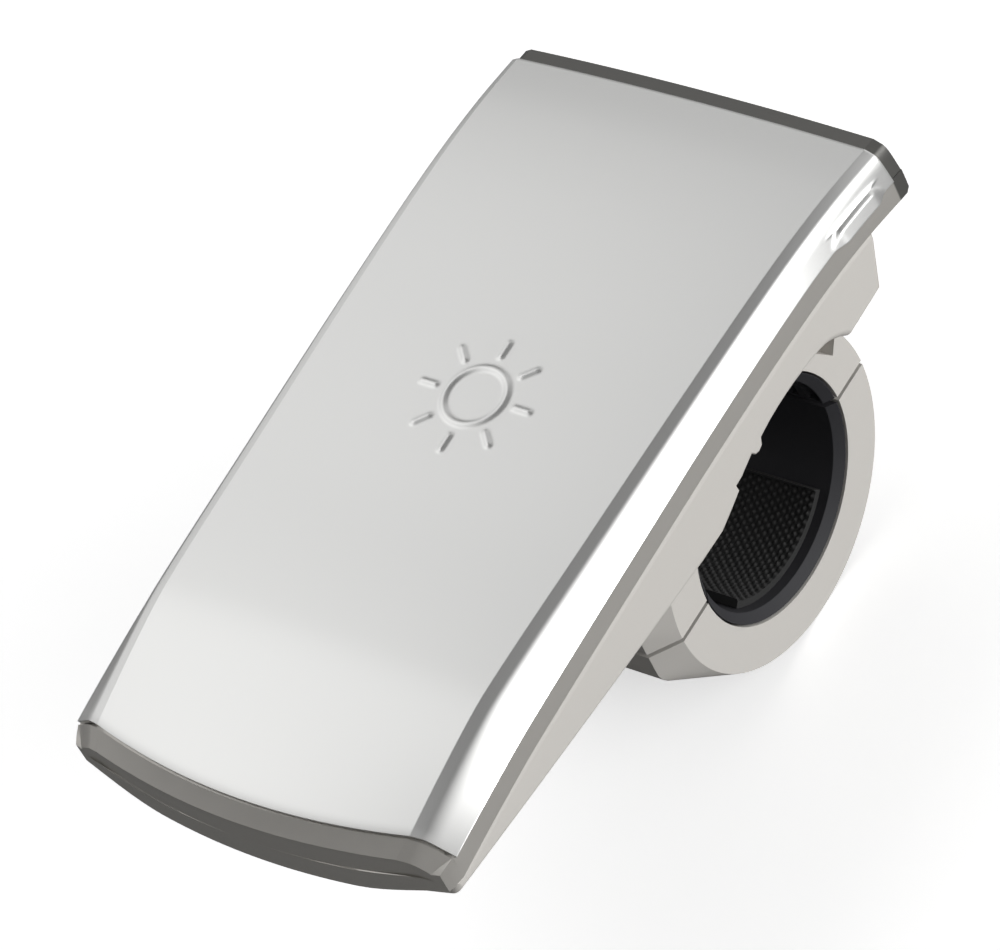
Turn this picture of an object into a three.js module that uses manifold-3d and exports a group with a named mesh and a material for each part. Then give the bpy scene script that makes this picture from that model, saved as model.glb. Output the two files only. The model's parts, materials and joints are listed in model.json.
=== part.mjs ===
// A battery light that clamps on a round handle bar.
// Millimetres. Origin at the centre of the clamp bore: +X runs along the bar, +Y from the light's
// thin front end to its back end, +Z up out of the steel cover. The light is symmetric about X = 0.

import * as THREE from "three";
import { ConvexGeometry } from "three/addons/geometries/ConvexGeometry.js";
import { mergeVertices } from "three/addons/utils/BufferGeometryUtils.js";
import Module from "manifold-3d";

const wasm = await Module();
wasm.setup();

// ---- Driving dimensions ----
const GAP = 0.3; // between pieces that touch
const ARCH_START = -88; // the arched sections are drawn past both ends, then trimmed
const ARCH_END = 38;

const FRONT_Y = -79.2; // cover's front corners
const BACK_Y = 34.5; // cover's back edge
const HALF_WIDTH = 31.6; // cover's flange tips
const CREASE_HALF = 27; // cover's creases, at mid length
const CREASE_TAPER = 0.025; // growth of that half width per mm towards the back
const FLANGE_DROP = 4.8; // crease above flange tip, at mid length
const CROWN = 1; // rise of the cover between its creases
const SHEET = 0.7; // cover's steel
const BEND = 1.6; // size of the bend at each crease
const BEND_RISE = 0.12; // crown's rise across that bend
const PULL_Y = 25.6; // finger pulls pressed out of the cover's flanges
const PULL_X = 31.1;
const PULL_R = 1.6;
const PULL_LENGTH = 10;
const PULL_SLOPE = -0.19;
const FRONT_BOW = 4.2; // how far the front edge bulges in plan

const LIP = 2.2; // frame beyond each end of the cover
const LIP_INSET = 0.4; // lips' section inside the cover's
const BAND = 4.2; // frame's side below the flange tips
const BAND_HALF = 31.2;
const HOUSING_HALF = 30.6;
const WALL = 1.6;
const BACK_FRAME_WALL = 6.5; // solid behind the frame's hollow

const WEDGE_END = [-16.5, 18.2]; // housing's underside where it meets the bar groove (y, z)
const BACK_BLOCK_Z = 18.1;
const BACK_BLOCK_Y = 26.2;
const BACK_TOP = [28.3, 27];
// Bar groove in the housing's wings (y, z), with a step and a rib on its front half.
const GROOVE = [
  [-13.8, 19.1], [-11.2, 20.1], [-11.3, 21.4], [-9.8, 21.5], [-6.9, 22.5], [-6.1, 21.4], [-4.6, 21.5],
  [-4.2, 22.7], [-1.7, 23.15], [2.8, 23.3], [7.3, 22.9], [11.1, 22.3], [14.1, 21], [17.2, 18.1],
];

const BORE_R = 18;
const RING_R = 24.6;
const RING_HALF = 21.6; // half the clamp's width along the bar
const SEAT_WALL = 0.8; // housing's wall over the clamp
const LINER_R = 16.3;
const LINER_HALF = 21.4;
const LINER_SPLIT = 0.5; // half the gap between the liners
const PAD_R = 14.8;
const PAD_HALF = 18.8;
const PAD_FROM = 222; // grip pad's ends, in degrees round from +Y
const PAD_TO = 310;
const PAD_GROOVES = [-12, -6, 0, 6, 12];
const PAD_GROOVE_WIDTH = 0.8;
const PAD_GROOVE_DEPTH = 0.5;

const EAR_Y = -23.3; // clamp screw, and the rounded nose in front of it
const EAR_R = 5.3;
const EAR_Z = 4;
const EAR_HALF = 18.2;
const SCREW_R = 2;
const HEAD_R = 3.5;
const HEAD_TOP = -4.9;
const HEAD_BOTTOM = -8.4;
const WASHER_R = 3.6;
const WASHER_BOTTOM = -4.8;
const WASHER_TOP = -4.5;
const COUNTERBORE_R = 3.9;
const COUNTERBORE_TOP = -4.2;
const NUT_R = 4;
const NUT_BOTTOM = 3.9;
const NUT_TOP = 7.1;

const PIN_Y = 26; // clamp hinge pin
const PIN_R = 1.5;
const KNUCKLE_R = 3.4;
const KNUCKLE_HALF = 7;
const KNUCKLE_ROOM = 0.5;
const HINGE_HALF = 15;
const FOOT_HALF = 17.6; // saddle's feet, screwed up into the housing
const FOOT_Z = [6, 17.4];
const FOOT_FRONT = [-24, -15];
const FOOT_BACK = [15, 25.2];
const SIDE_POCKET = [[20.4, 6.7], [22.1, 8.8], [18.6, 14.8], [15.8, 13.2]]; // in the saddle's sides (y, z)
const SIDE_POCKET_DEPTH = 3;

const CELL_R = 5.25; // AAA cell
const CELL_LENGTH = 43.3;
const NUB_R = 1.9;
const NUB_LENGTH = 0.9;
const CELL_PITCH = 11.8;
const CELL_Z = 33.1;
const CELL_FRONT = -29.5;
const CELL_BACK = CELL_FRONT + CELL_LENGTH;
const TRAY_HALF = 18.6;
const TRAY_FRONT = -35;
const TRAY_BACK = 20;
const TRAY_FLOOR = 26.6;
const TRAY_TOP = 36;
const TRAY_WALL = 1;
const COIL_R = 3.4; // contact springs and plates
const COIL_TURNS = 3;
const WIRE_R = 0.35;
const PLATE_HALF = 4.4;
const PLATE_Z = [28.6, 36];
const FRONT_PLATE = [-33.7, -33.3];
const BACK_PLATE = [18.3, 18.7];
const FRONT_COIL_Y = -32.6;
const BACK_COIL_Y = 17.6;

const LENS_Y = -62; // middle of the light window
const LENS_TILT = -0.115;
const LENS_HALF_X = 19;
const LENS_HALF_Y = 7.5;
const LED_XS = [-12, 0, 12];
const BUTTON_Y = -45;
const BUTTON_R = 4.2;
const BUTTON_FLANGE = [22.4, 23.6];
const BOARD_Z = 28.4;
const BOARD_THICK = 1.2;
const BOARD_HALF = 22;
const BOARD_Y = [-74, -38.5];

const SCREW_X = 25.6; // housing screws
const SCREW_YS = [-38, 22.4];
const TOWER_TOP = 29.2;
const SADDLE_SCREW_X = 12;
const SADDLE_SCREW_YS = [-19.6, 20.4];
const SADDLE_SEATS = [20.2, 20];
const FAR = 60; // past every surface, for tools that cut right through

// ---- Side view: how the cover's creases and flange tips rise and fall along Y ----
const stations = [-88, -79, -66, -59, -35, -10, 12, 25, 38];
const creaseZ = [31.6, 34.2, 37.3, 38.3, 38.9, 39.4, 39.4, 38.5, 36.5];
const tipZs = [29.2, 31, 32.7, 33.3, 34.2, 34.8, 34.4, 33.1, 30.4];
const crease = new THREE.CubicInterpolant(stations, creaseZ, 1);
const tip = new THREE.CubicInterpolant(stations, tipZs, 1);
const heightOf = (curve, y) => curve.evaluate(y)[0];

// ---- Solids ----
function solid(geometry) {
  const bare = geometry.index ? geometry.toNonIndexed() : geometry.clone();
  bare.deleteAttribute("normal");
  bare.deleteAttribute("uv");
  const merged = mergeVertices(bare, 1e-4);
  return new wasm.Manifold(
    new wasm.Mesh({
      numProp: 3,
      vertProperties: new Float32Array(merged.attributes.position.array),
      triVerts: new Uint32Array(merged.index.array),
    }),
  );
}

const join = (first, ...rest) => rest.reduce((all, piece) => all.add(piece), first);
const cut = (first, ...rest) => rest.reduce((all, piece) => all.subtract(piece), first);

function box([x0, x1], [y0, y1], [z0, z1]) {
  const shape = new THREE.BoxGeometry(x1 - x0, y1 - y0, z1 - z0);
  return solid(shape.translate((x0 + x1) / 2, (y0 + y1) / 2, (z0 + z1) / 2));
}

// A cylinder along X, Y or Z from one end to the other; the centre gives the other two coordinates.
function rod(axis, radius, [from, to], [a, b], sides = 24) {
  const shape = new THREE.CylinderGeometry(radius, radius, to - from, sides);
  const middle = (from + to) / 2;
  if (axis === "x") return solid(shape.rotateZ(Math.PI / 2).translate(middle, a, b));
  if (axis === "y") return solid(shape.translate(a, middle, b));
  return solid(shape.rotateX(Math.PI / 2).translate(a, b, middle));
}

// A side view (y, z) extruded along X.
function acrossX(outline, x0, x1) {
  const options = { depth: x1 - x0, bevelEnabled: false, curveSegments: 14 };
  const shape = new THREE.ExtrudeGeometry(outline, options);
  const yzx = new THREE.Matrix4().makeBasis(
    new THREE.Vector3(0, 1, 0),
    new THREE.Vector3(0, 0, 1),
    new THREE.Vector3(1, 0, 0),
  );
  return solid(shape.applyMatrix4(yzx).translate(x0, 0, 0));
}

// A plan (x, y) extruded along Z.
function upZ(outline, z0, z1) {
  const options = { depth: z1 - z0, bevelEnabled: false, curveSegments: 10 };
  const shape = new THREE.ExtrudeGeometry(outline, options);
  return solid(shape.translate(0, 0, z0));
}

function polygon(points) {
  return new THREE.Shape(points.map(([x, y]) => new THREE.Vector2(x, y)));
}

// A cross-section (x, level) extruded along Y and bent to the side view: level 0 is the flange tips'
// height, FLANGE_DROP the creases', and below the tips a level is plain depth.
function alongArch(section, y0, y1, steps) {
  const options = { depth: y1 - y0, steps, bevelEnabled: false, curveSegments: 5 };
  const shape = new THREE.ExtrudeGeometry(section, options);
  shape.rotateX(Math.PI / 2).translate(0, y1, 0);
  const p = shape.attributes.position;
  for (let i = 0; i < p.count; i++) {
    const [x, y, level] = [p.getX(i), p.getY(i), p.getZ(i)];
    const tipZ = heightOf(tip, y);
    const rise = heightOf(crease, y) - tipZ;
    const share = Math.min(Math.max(level, 0) / FLANGE_DROP, 1);
    const width = 1 + (share * CREASE_TAPER * y) / CREASE_HALF;
    p.setXYZ(i, x * width, y, tipZ + (level > 0 ? (level * rise) / FLANGE_DROP : level));
  }
  return solid(shape);
}

// The cover's section line, set in by an offset, from the right flange's foot over to the left one's.
function coverLine(path, offset, foot = 0, first = "lineTo") {
  const lean = (HALF_WIDTH - CREASE_HALF) / FLANGE_DROP;
  const edge = (level) => HALF_WIDTH - Math.hypot(1, lean) * offset - level * lean;
  const top = FLANGE_DROP - offset;
  const corner = edge(top);
  path[first](edge(foot), foot);
  path.lineTo(edge(top - BEND), top - BEND);
  path.quadraticCurveTo(corner, top, corner - BEND, top + BEND_RISE);
  path.quadraticCurveTo(0, top + 2 * CROWN - BEND_RISE, BEND - corner, top + BEND_RISE);
  path.quadraticCurveTo(-corner, top, -edge(top - BEND), top - BEND);
  path.lineTo(-edge(foot), foot);
}

// Everything behind the bowed front edge and ahead of the straight back edge.
function between(frontY, backY) {
  const plan = new THREE.Shape();
  plan.moveTo(-FAR, backY);
  plan.lineTo(-FAR, frontY);
  plan.lineTo(-HALF_WIDTH, frontY);
  plan.quadraticCurveTo(0, frontY - 2 * FRONT_BOW, HALF_WIDTH, frontY);
  plan.lineTo(FAR, frontY);
  plan.lineTo(FAR, backY);
  return upZ(plan, 0, FAR);
}

// ---- Steel cover ----
function steelCover() {
  const section = new THREE.Shape();
  coverLine(section, 0, 0, "moveTo");
  const inner = new THREE.Shape();
  coverLine(inner, SHEET, 0, "moveTo");
  for (const point of inner.getPoints(5).reverse()) section.lineTo(point.x, point.y);
  const sheet = alongArch(section, ARCH_START, BACK_Y, 15).intersect(between(FRONT_Y, BACK_Y + 1));
  const band = new THREE.Shape();
  coverLine(band, SHEET, -1, "moveTo");
  const inside = alongArch(band, 0, ARCH_END, 8);
  const halfRoom = BAND_HALF + GAP;
  const side = [[-halfRoom, -3 * BAND], [halfRoom, -3 * BAND], [halfRoom, 0], [-halfRoom, 0]];
  const below = alongArch(polygon(side), 0, ARCH_END, 8);
  const pulls = [-1, 1].map((sign) => {
    const bulge = new THREE.CapsuleGeometry(PULL_R, PULL_LENGTH, 4, 10).rotateX(PULL_SLOPE);
    const place = [sign * PULL_X, PULL_Y, heightOf(tip, PULL_Y) + SHEET];
    return cut(solid(bulge.translate(...place)), inside, below);
  });
  return join(sheet, ...pulls);
}

// ---- Upper frame: a bezel that shows as a band below the cover and as a lip at each end ----
function envelope(offset) {
  const section = new THREE.Shape();
  section.moveTo(-BAND_HALF, -BAND);
  section.lineTo(BAND_HALF, -BAND);
  section.lineTo(BAND_HALF, 0);
  coverLine(section, offset, 0.4);
  section.lineTo(-BAND_HALF, 0);
  return section;
}

function upperFrame() {
  const inset = SHEET + 3 * GAP;
  const deck = new THREE.Shape();
  deck.moveTo(-BAND_HALF, -BAND);
  deck.lineTo(BAND_HALF, -BAND);
  deck.lineTo(BAND_HALF, -GAP);
  coverLine(deck, inset, -GAP);
  deck.lineTo(-BAND_HALF, -GAP);
  const inside = new THREE.Shape();
  inside.moveTo(-BAND_HALF + WALL, -BAND - 1);
  inside.lineTo(BAND_HALF - WALL, -BAND - 1);
  inside.lineTo(BAND_HALF - WALL, -WALL);
  coverLine(inside, inset + WALL, -WALL);
  inside.lineTo(-BAND_HALF + WALL, -WALL);

  const [lipFront, lipBack] = [FRONT_Y - GAP - LIP, BACK_Y + GAP + LIP];
  const body = alongArch(deck, ARCH_START, lipBack - 1, 15).intersect(between(lipFront + 1, lipBack));
  const frontLip = cut(between(lipFront, FRONT_Y + 3), between(FRONT_Y - GAP, FRONT_Y + 4));
  const backLip = between(0, lipBack).subtract(between(-10, BACK_Y + GAP));
  const lips = alongArch(envelope(LIP_INSET), ARCH_START, ARCH_END, 15).intersect(frontLip.add(backLip));
  const room = between(FRONT_Y + 2, BACK_Y);
  const hollow = alongArch(inside, ARCH_START, BACK_Y - BACK_FRAME_WALL, 13).intersect(room);
  const chamfer = acrossX(polygon([[28, 20], [45, 20], [45, 33.5]]), -FAR, FAR);
  const bayX = [-TRAY_HALF - 1, TRAY_HALF + 1];
  const bay = box(bayX, [TRAY_FRONT - 1, TRAY_BACK + 1], [0, FAR]);
  const under = alongArch(envelope(inset), ARCH_START, ARCH_END, 15);
  const postZ = [TOWER_TOP + 0.4, TOWER_TOP + 8];
  const posts = screwPlaces().map((place) => rod("z", 3, postZ, place, 16).intersect(under));
  const pilots = screwPlaces().map((place) => rod("z", 1.6, [0, TOWER_TOP + 6.3], place, 12));
  return cut(join(cut(join(body, lips), hollow, chamfer), ...posts), bay, ...pilots);
}

// ---- Lower housing: a thin-walled wedge with a groove for the bar ----
function screwPlaces() {
  return SCREW_YS.flatMap((y) => [-SCREW_X, SCREW_X].map((x) => [x, y]));
}

// The wedge's underside, from its front end to the bar groove.
const underside = (y) => 24.2 - (0.124 * (y + 80.7)) / (1 + 0.0035 * (y + 80.7));

function housingOutline(inset) {
  const side = new THREE.Shape();
  const frontY = FRONT_Y - GAP - LIP + inset - 5;
  side.moveTo(frontY, underside(frontY) + inset);
  for (const y of [-66, -50, -35, -22]) side.lineTo(y, underside(y) + inset);
  for (const [y, z] of [WEDGE_END, ...GROOVE]) {
    const grow = 1 + inset / Math.hypot(y, z);
    side.lineTo(y * grow, z * grow);
  }
  side.lineTo(BACK_BLOCK_Y - inset, BACK_BLOCK_Z + inset);
  side.lineTo(BACK_TOP[0] - inset, BACK_TOP[1]);
  const topZ = (y) => heightOf(tip, y) - BAND - GAP + 3 * inset;
  for (let y = BACK_TOP[0] - inset - GAP; y > frontY; y -= 4) side.lineTo(y, topZ(y));
  side.lineTo(frontY, topZ(frontY));
  return side;
}

function housingBlock(inset) {
  const front = FRONT_Y - GAP - LIP + inset;
  const sides = box([inset - HOUSING_HALF, HOUSING_HALF - inset], [-2 * FAR, FAR], [0, FAR]);
  return acrossX(housingOutline(inset), -FAR, FAR).intersect(sides).intersect(between(front, FAR));
}

// Places a shape drawn round the window's middle, with +Z into the housing.
function lensTilt(geometry) {
  return geometry.rotateX(LENS_TILT).translate(0, LENS_Y, underside(LENS_Y));
}

function lensSlab(inset, z0, z1) {
  const slab = new THREE.BoxGeometry(2 * (LENS_HALF_X - inset), 2 * (LENS_HALF_Y - inset), z1 - z0);
  return solid(lensTilt(slab.translate(0, 0, (z0 + z1) / 2)));
}

function lowerHousing() {
  const outer = housingBlock(0);
  const inner = housingBlock(WALL);
  const towerZ = [underside(SCREW_YS[0]) - 1, TOWER_TOP];
  const towers = screwPlaces().map((place) => rod("z", 3.3, towerZ, place, 16).intersect(outer));
  const holes = screwPlaces().flatMap((place) => [
    rod("z", 1.9, [0, FAR], place, 12),
    rod("z", 3, [0, 23], place, 16),
  ]);
  const saddleHoles = saddleScrewPlaces().map((place) => rod("z", 1.9, [0, FAR], place, 12));
  const buttonHole = rod("z", BUTTON_R + GAP, [0, FAR], [0, BUTTON_Y], 32);
  const seatHalf = RING_HALF + GAP;
  const ringSeat = ringBlock(RING_R + GAP + 0.1, seatHalf);
  const seatFloor = ringBlock(RING_R + GAP + 0.1 + SEAT_WALL, seatHalf + WALL).intersect(outer);
  const shell = join(cut(outer, inner), seatFloor, ...towers);
  return cut(shell, lensSlab(0, -6, 6), buttonHole, ringSeat, ...holes, ...saddleHoles);
}

// ---- Clamp: saddle fixed under the housing, hinged cap below it ----
function saddleScrewPlaces() {
  return SADDLE_SCREW_YS.flatMap((y) => [-SADDLE_SCREW_X, SADDLE_SCREW_X].map((x) => [x, y]));
}

const ringBlock = (radius, half) => rod("x", radius, [-half, half], [0, 0], 52);

// The ring's outside, drawn out at the front to a narrower rounded nose for the clamp screw.
function ringOutside() {
  const points = [];
  const circle = (x, y, z, radius, sides) => {
    for (let i = 0; i < sides; i++) {
      const angle = (2 * Math.PI * i) / sides;
      points.push(new THREE.Vector3(x, y + radius * Math.cos(angle), z + radius * Math.sin(angle)));
    }
  };
  for (const side of [-1, 1]) {
    circle(side * RING_HALF, 0, 0, RING_R, 52);
    circle(side * EAR_HALF, EAR_Y, EAR_Z, EAR_R, 24);
    circle(side * EAR_HALF, EAR_Y, -EAR_Z, EAR_R, 24);
  }
  return solid(new ConvexGeometry(points));
}

function clampHalf(above) {
  const keep = box([-FAR, FAR], [-FAR, FAR], above ? [GAP, FAR] : [-FAR, -GAP]);
  const half = ringOutside().intersect(keep);
  const webZ = above ? [0, KNUCKLE_R] : [-KNUCKLE_R, 0];
  const web = (span) => box(span, [RING_R - 3, PIN_Y], webZ);
  const knuckle = (span) => rod("x", KNUCKLE_R, span, [PIN_Y, 0], 32).add(web(span));
  const room = ([x0, x1]) => rod("x", KNUCKLE_R + KNUCKLE_ROOM, [x0 - GAP, x1 + GAP], [PIN_Y, 0], 32);
  const outerSpans = [[-HINGE_HALF, -KNUCKLE_HALF - GAP], [KNUCKLE_HALF + GAP, HINGE_HALF]];
  const innerSpan = [-KNUCKLE_HALF, KNUCKLE_HALF];
  const mine = above ? outerSpans : [innerSpan];
  const theirs = above ? [innerSpan] : outerSpans;
  const pinHole = rod("x", PIN_R + GAP, [-HINGE_HALF - 1, HINGE_HALF + 1], [PIN_Y, 0], 24);
  const cleared = cut(half, ...theirs.map(room));
  return cut(join(cleared, ...mine.map(knuckle)), ringBlock(BORE_R, FAR), pinHole);
}

function clampSaddle() {
  const feet = [FOOT_FRONT, FOOT_BACK].map((span) => box([-FOOT_HALF, FOOT_HALF], span, FOOT_Z));
  const block = cut(join(...feet), ringBlock(BORE_R, FAR));
  const pilots = saddleScrewPlaces().map((place) => rod("z", 1.5, [8, FAR], place, 12));
  const nutPocket = rod("z", NUT_R + 0.4, [NUT_BOTTOM - GAP, 20], [0, EAR_Y], 6);
  const screwHole = rod("z", SCREW_R + 0.7, [-10, 20], [0, EAR_Y], 24);
  const pocketEnd = RING_HALF - SIDE_POCKET_DEPTH;
  const sides = [[-FAR, -pocketEnd], [pocketEnd, FAR]];
  const pockets = sides.map((span) => acrossX(polygon(SIDE_POCKET), ...span));
  return cut(join(clampHalf(true), block), ...pilots, nutPocket, screwHole, ...pockets);
}

function clampCap() {
  const screwHole = rod("z", SCREW_R + 0.4, [-20, 20], [0, EAR_Y], 24);
  const counterbore = rod("z", COUNTERBORE_R, [-20, COUNTERBORE_TOP], [0, EAR_Y], 32);
  return cut(clampHalf(false), screwHole, counterbore);
}

// A tube round the bore, from one radius to another.
function tube(outerR, innerR, half) {
  return cut(rod("x", outerR, [-half, half], [0, 0], 40), rod("x", innerR, [-FAR, FAR], [0, 0], 40));
}

function liner(above) {
  const keep = box([-FAR, FAR], [-FAR, FAR], above ? [LINER_SPLIT, FAR] : [-FAR, -LINER_SPLIT]);
  return tube(BORE_R - GAP, LINER_R, LINER_HALF).intersect(keep);
}

function gripPad() {
  const [from, to] = [PAD_FROM, PAD_TO].map(THREE.MathUtils.degToRad);
  const far = (angle) => [FAR * Math.cos(angle), FAR * Math.sin(angle)];
  const sector = acrossX(polygon([[0, 0], far(from), far((from + to) / 2), far(to)]), -FAR, FAR);
  const grooveR = PAD_R + PAD_GROOVE_DEPTH;
  const grooves = PAD_GROOVES.map((x) => [x - PAD_GROOVE_WIDTH / 2, x + PAD_GROOVE_WIDTH / 2]);
  const cuts = grooves.map((span) => rod("x", grooveR, span, [0, 0], 40));
  return cut(tube(LINER_R - GAP, PAD_R, PAD_HALF).intersect(sector), ...cuts);
}

// ---- Fasteners ----
// A cross-slotted pan-head screw. The shank points up from a head below the seat, or down from one above it.
function panScrew(seatZ, [headH, headR], [shankR, tipZ], [x, y]) {
  const up = Math.sign(tipZ - seatZ);
  const span = (a, b) => [Math.min(a, b), Math.max(a, b)];
  const head = rod("z", headR, span(seatZ, seatZ - up * headH), [x, y], 16);
  const shank = rod("z", shankR, span(seatZ - up * 0.1, tipZ), [x, y], 12);
  const recess = span(seatZ - up * (headH - 1), seatZ - up * (headH + 1));
  const [long, short] = [1.3, 0.35];
  const slots = [[long, short], [short, long]].map(([a, b]) => box([x - a, x + a], [y - b, y + b], recess));
  return cut(join(head, shank), ...slots);
}

function clampScrew() {
  const head = rod("z", HEAD_R, [HEAD_BOTTOM, HEAD_TOP], [0, EAR_Y], 32);
  const shank = rod("z", SCREW_R, [HEAD_TOP - 0.1, NUT_TOP - 0.1], [0, EAR_Y], 24);
  return cut(join(head, shank), rod("z", 1.7, [HEAD_BOTTOM - 1, HEAD_BOTTOM + 2], [0, EAR_Y], 6));
}

function earNut() {
  const hole = rod("z", SCREW_R + 0.45, [0, 10], [0, EAR_Y], 24);
  return cut(rod("z", NUT_R, [NUT_BOTTOM, NUT_TOP], [0, EAR_Y], 6), hole);
}

function screwWasher() {
  const disc = rod("z", WASHER_R, [WASHER_BOTTOM, WASHER_TOP], [0, EAR_Y], 28);
  return cut(disc, rod("z", SCREW_R + GAP, [-9, 0], [0, EAR_Y], 24));
}

// ---- Battery bay ----
function batteryTray() {
  const [x, front, back] = [TRAY_HALF - TRAY_WALL, TRAY_FRONT + TRAY_WALL, TRAY_BACK - TRAY_WALL];
  const outside = box([-TRAY_HALF, TRAY_HALF], [TRAY_FRONT, TRAY_BACK], [TRAY_FLOOR, TRAY_TOP]);
  const inside = box([-x, x], [front, back], [TRAY_FLOOR + TRAY_WALL, TRAY_TOP + 1]);
  const ribs = [-0.5, 0.5].map((k) => {
    const middle = k * CELL_PITCH;
    return box([middle - 0.3, middle + 0.3], [-28, 12], [TRAY_FLOOR + 0.5, TRAY_FLOOR + 2.7]);
  });
  return join(cut(outside, inside), ...ribs);
}

function cell(x, flip) {
  const can = rod("y", CELL_R, [CELL_FRONT, CELL_BACK], [x, CELL_Z], 28);
  const nubSpan = flip ? [CELL_FRONT - NUB_LENGTH, CELL_FRONT + 1] : [CELL_BACK - 1, CELL_BACK + NUB_LENGTH];
  return join(can, rod("y", NUB_R, nubSpan, [x, CELL_Z], 16));
}

class Coil extends THREE.Curve {
  constructor(x, from, to) {
    super();
    Object.assign(this, { x, from, to });
  }
  getPoint(t, target = new THREE.Vector3()) {
    const angle = 2 * Math.PI * COIL_TURNS * t;
    const radius = COIL_R * (1 - 0.45 * t);
    const y = THREE.MathUtils.lerp(this.from, this.to, t);
    return target.set(this.x + radius * Math.cos(angle), y, CELL_Z + radius * Math.sin(angle));
  }
}

function contactSpring(x, flip) {
  const reach = 0.8;
  const ends = flip ? [BACK_COIL_Y, CELL_BACK + reach] : [FRONT_COIL_Y, CELL_FRONT - reach];
  const coil = new Coil(x, ...ends);
  const wire = new THREE.Shape().absarc(0, 0, WIRE_R, 0, 2 * Math.PI);
  const options = { extrudePath: coil, steps: 24, curveSegments: 2, bevelEnabled: false };
  return solid(new THREE.ExtrudeGeometry(wire, options));
}

const plate = (x, span) => box([x - PLATE_HALF, x + PLATE_HALF], span, PLATE_Z);

function nubContact(x, flip) {
  const frontBump = [FRONT_PLATE[1] - 0.1, CELL_FRONT - NUB_LENGTH - 0.5];
  const backBump = [CELL_BACK + NUB_LENGTH + GAP, BACK_PLATE[0] + 0.1];
  const bump = rod("y", NUB_R + GAP, flip ? frontBump : backBump, [x, CELL_Z], 16);
  return join(plate(x, flip ? FRONT_PLATE : BACK_PLATE), bump);
}

// ---- Light engine ----
function reflector() {
  const cups = LED_XS.map((x) => {
    const cone = new THREE.CylinderGeometry(2.6, 5, 2.4, 20).rotateX(Math.PI / 2);
    return solid(lensTilt(cone.translate(x, 0, 4.5)));
  });
  return cut(lensSlab(1, 3.5, 5.5), ...cups);
}

const lensWindow = () => lensSlab(GAP, 0, 1.8);
const lensGasket = () => cut(lensSlab(1, 2.2, 3), lensSlab(2.5, 1, 4));

function powerButton() {
  const cap = rod("z", BUTTON_R, [underside(BUTTON_Y) - 0.6, BUTTON_FLANGE[1]], [0, BUTTON_Y], 28);
  return join(cap, rod("z", BUTTON_R + 1.2, BUTTON_FLANGE, [0, BUTTON_Y], 28));
}

const boardTop = BOARD_Z + BOARD_THICK + GAP;
const circuitBoard = () => box([-BOARD_HALF, BOARD_HALF], BOARD_Y, [BOARD_Z, BOARD_Z + BOARD_THICK]);
const tactSwitch = () => box([-3, 3], [BUTTON_Y - 3, BUTTON_Y + 3], [24.7, BOARD_Z - GAP]);
const tiltSwitch = () => rod("x", 2.2, [8, 16], [-46, boardTop + 2.2], 24);
const hingePin = () => rod("x", PIN_R, [-HINGE_HALF + 0.4, HINGE_HALF - 0.4], [PIN_Y, 0], 24);

// ---- Assembly ----
const paint = {
  silver: [0xc8c6c0, 0.45, 0.4],
  steel: [0xc9cbcc, 0.32, 1],
  black: [0x26272a, 0.6, 0],
  rubber: [0x1d1e20, 0.85, 0],
  board: [0x1f5a3a, 0.5, 0],
  zinc: [0xb9bcc0, 0.35, 1],
  mirror: [0xe8e8e8, 0.1, 1],
  clear: [0xf0f4f6, 0.05, 0],
  phosphor: [0xf4efc0, 0.4, 0],
  sleeve: [0x6d7a86, 0.35, 0.6],
};

function part(name, body, [color, roughness, metalness]) {
  const { vertProperties, triVerts } = body.getMesh();
  const geometry = new THREE.BufferGeometry();
  geometry.setAttribute("position", new THREE.Float32BufferAttribute(vertProperties, 3));
  geometry.setIndex(new THREE.Uint32BufferAttribute(triVerts, 1));
  geometry.computeVertexNormals();
  const mesh = new THREE.Mesh(geometry, new THREE.MeshStandardMaterial({ color, roughness, metalness }));
  mesh.name = name;
  return mesh;
}

const light = new THREE.Group();
light.add(
  part("steel_cover", steelCover(), paint.steel),
  part("upper_frame", upperFrame(), paint.silver),
  part("lower_housing", lowerHousing(), paint.silver),
  part("clamp_saddle", clampSaddle(), paint.silver),
  part("clamp_cap", clampCap(), paint.silver),
  part("upper_liner", liner(true), paint.black),
  part("lower_liner", liner(false), paint.black),
  part("grip_pad", gripPad(), paint.rubber),
  part("hinge_pin", hingePin(), paint.zinc),
  part("clamp_screw", clampScrew(), paint.zinc),
  part("screw_washer", screwWasher(), paint.zinc),
  part("ear_nut", earNut(), paint.zinc),
  part("battery_tray", batteryTray(), paint.black),
  part("reflector", reflector(), paint.mirror),
  part("lens_window", lensWindow(), paint.clear),
  part("lens_gasket", lensGasket(), paint.rubber),
  part("power_button", powerButton(), paint.rubber),
  part("circuit_board", circuitBoard(), paint.board),
  part("tact_switch", tactSwitch(), paint.black),
  part("tilt_switch", tiltSwitch(), paint.zinc),
);

["left", "middle", "right"].forEach((side, i) => {
  const chip = new THREE.BoxGeometry(3.5, 3.5, 0.9).translate(LED_XS[i], LENS_Y, BOARD_Z - GAP - 0.45);
  const x = (i - 1) * CELL_PITCH;
  const flip = i === 1;
  light.add(
    part(`led_${side}`, solid(chip), paint.phosphor),
    part(`battery_${side}`, cell(x, flip), paint.sleeve),
    part(`contact_spring_${side}`, contactSpring(x, flip), paint.zinc),
    part(`spring_plate_${side}`, plate(x, flip ? BACK_PLATE : FRONT_PLATE), paint.zinc),
    part(`nub_contact_${side}`, nubContact(x, flip), paint.zinc),
  );
});

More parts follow.
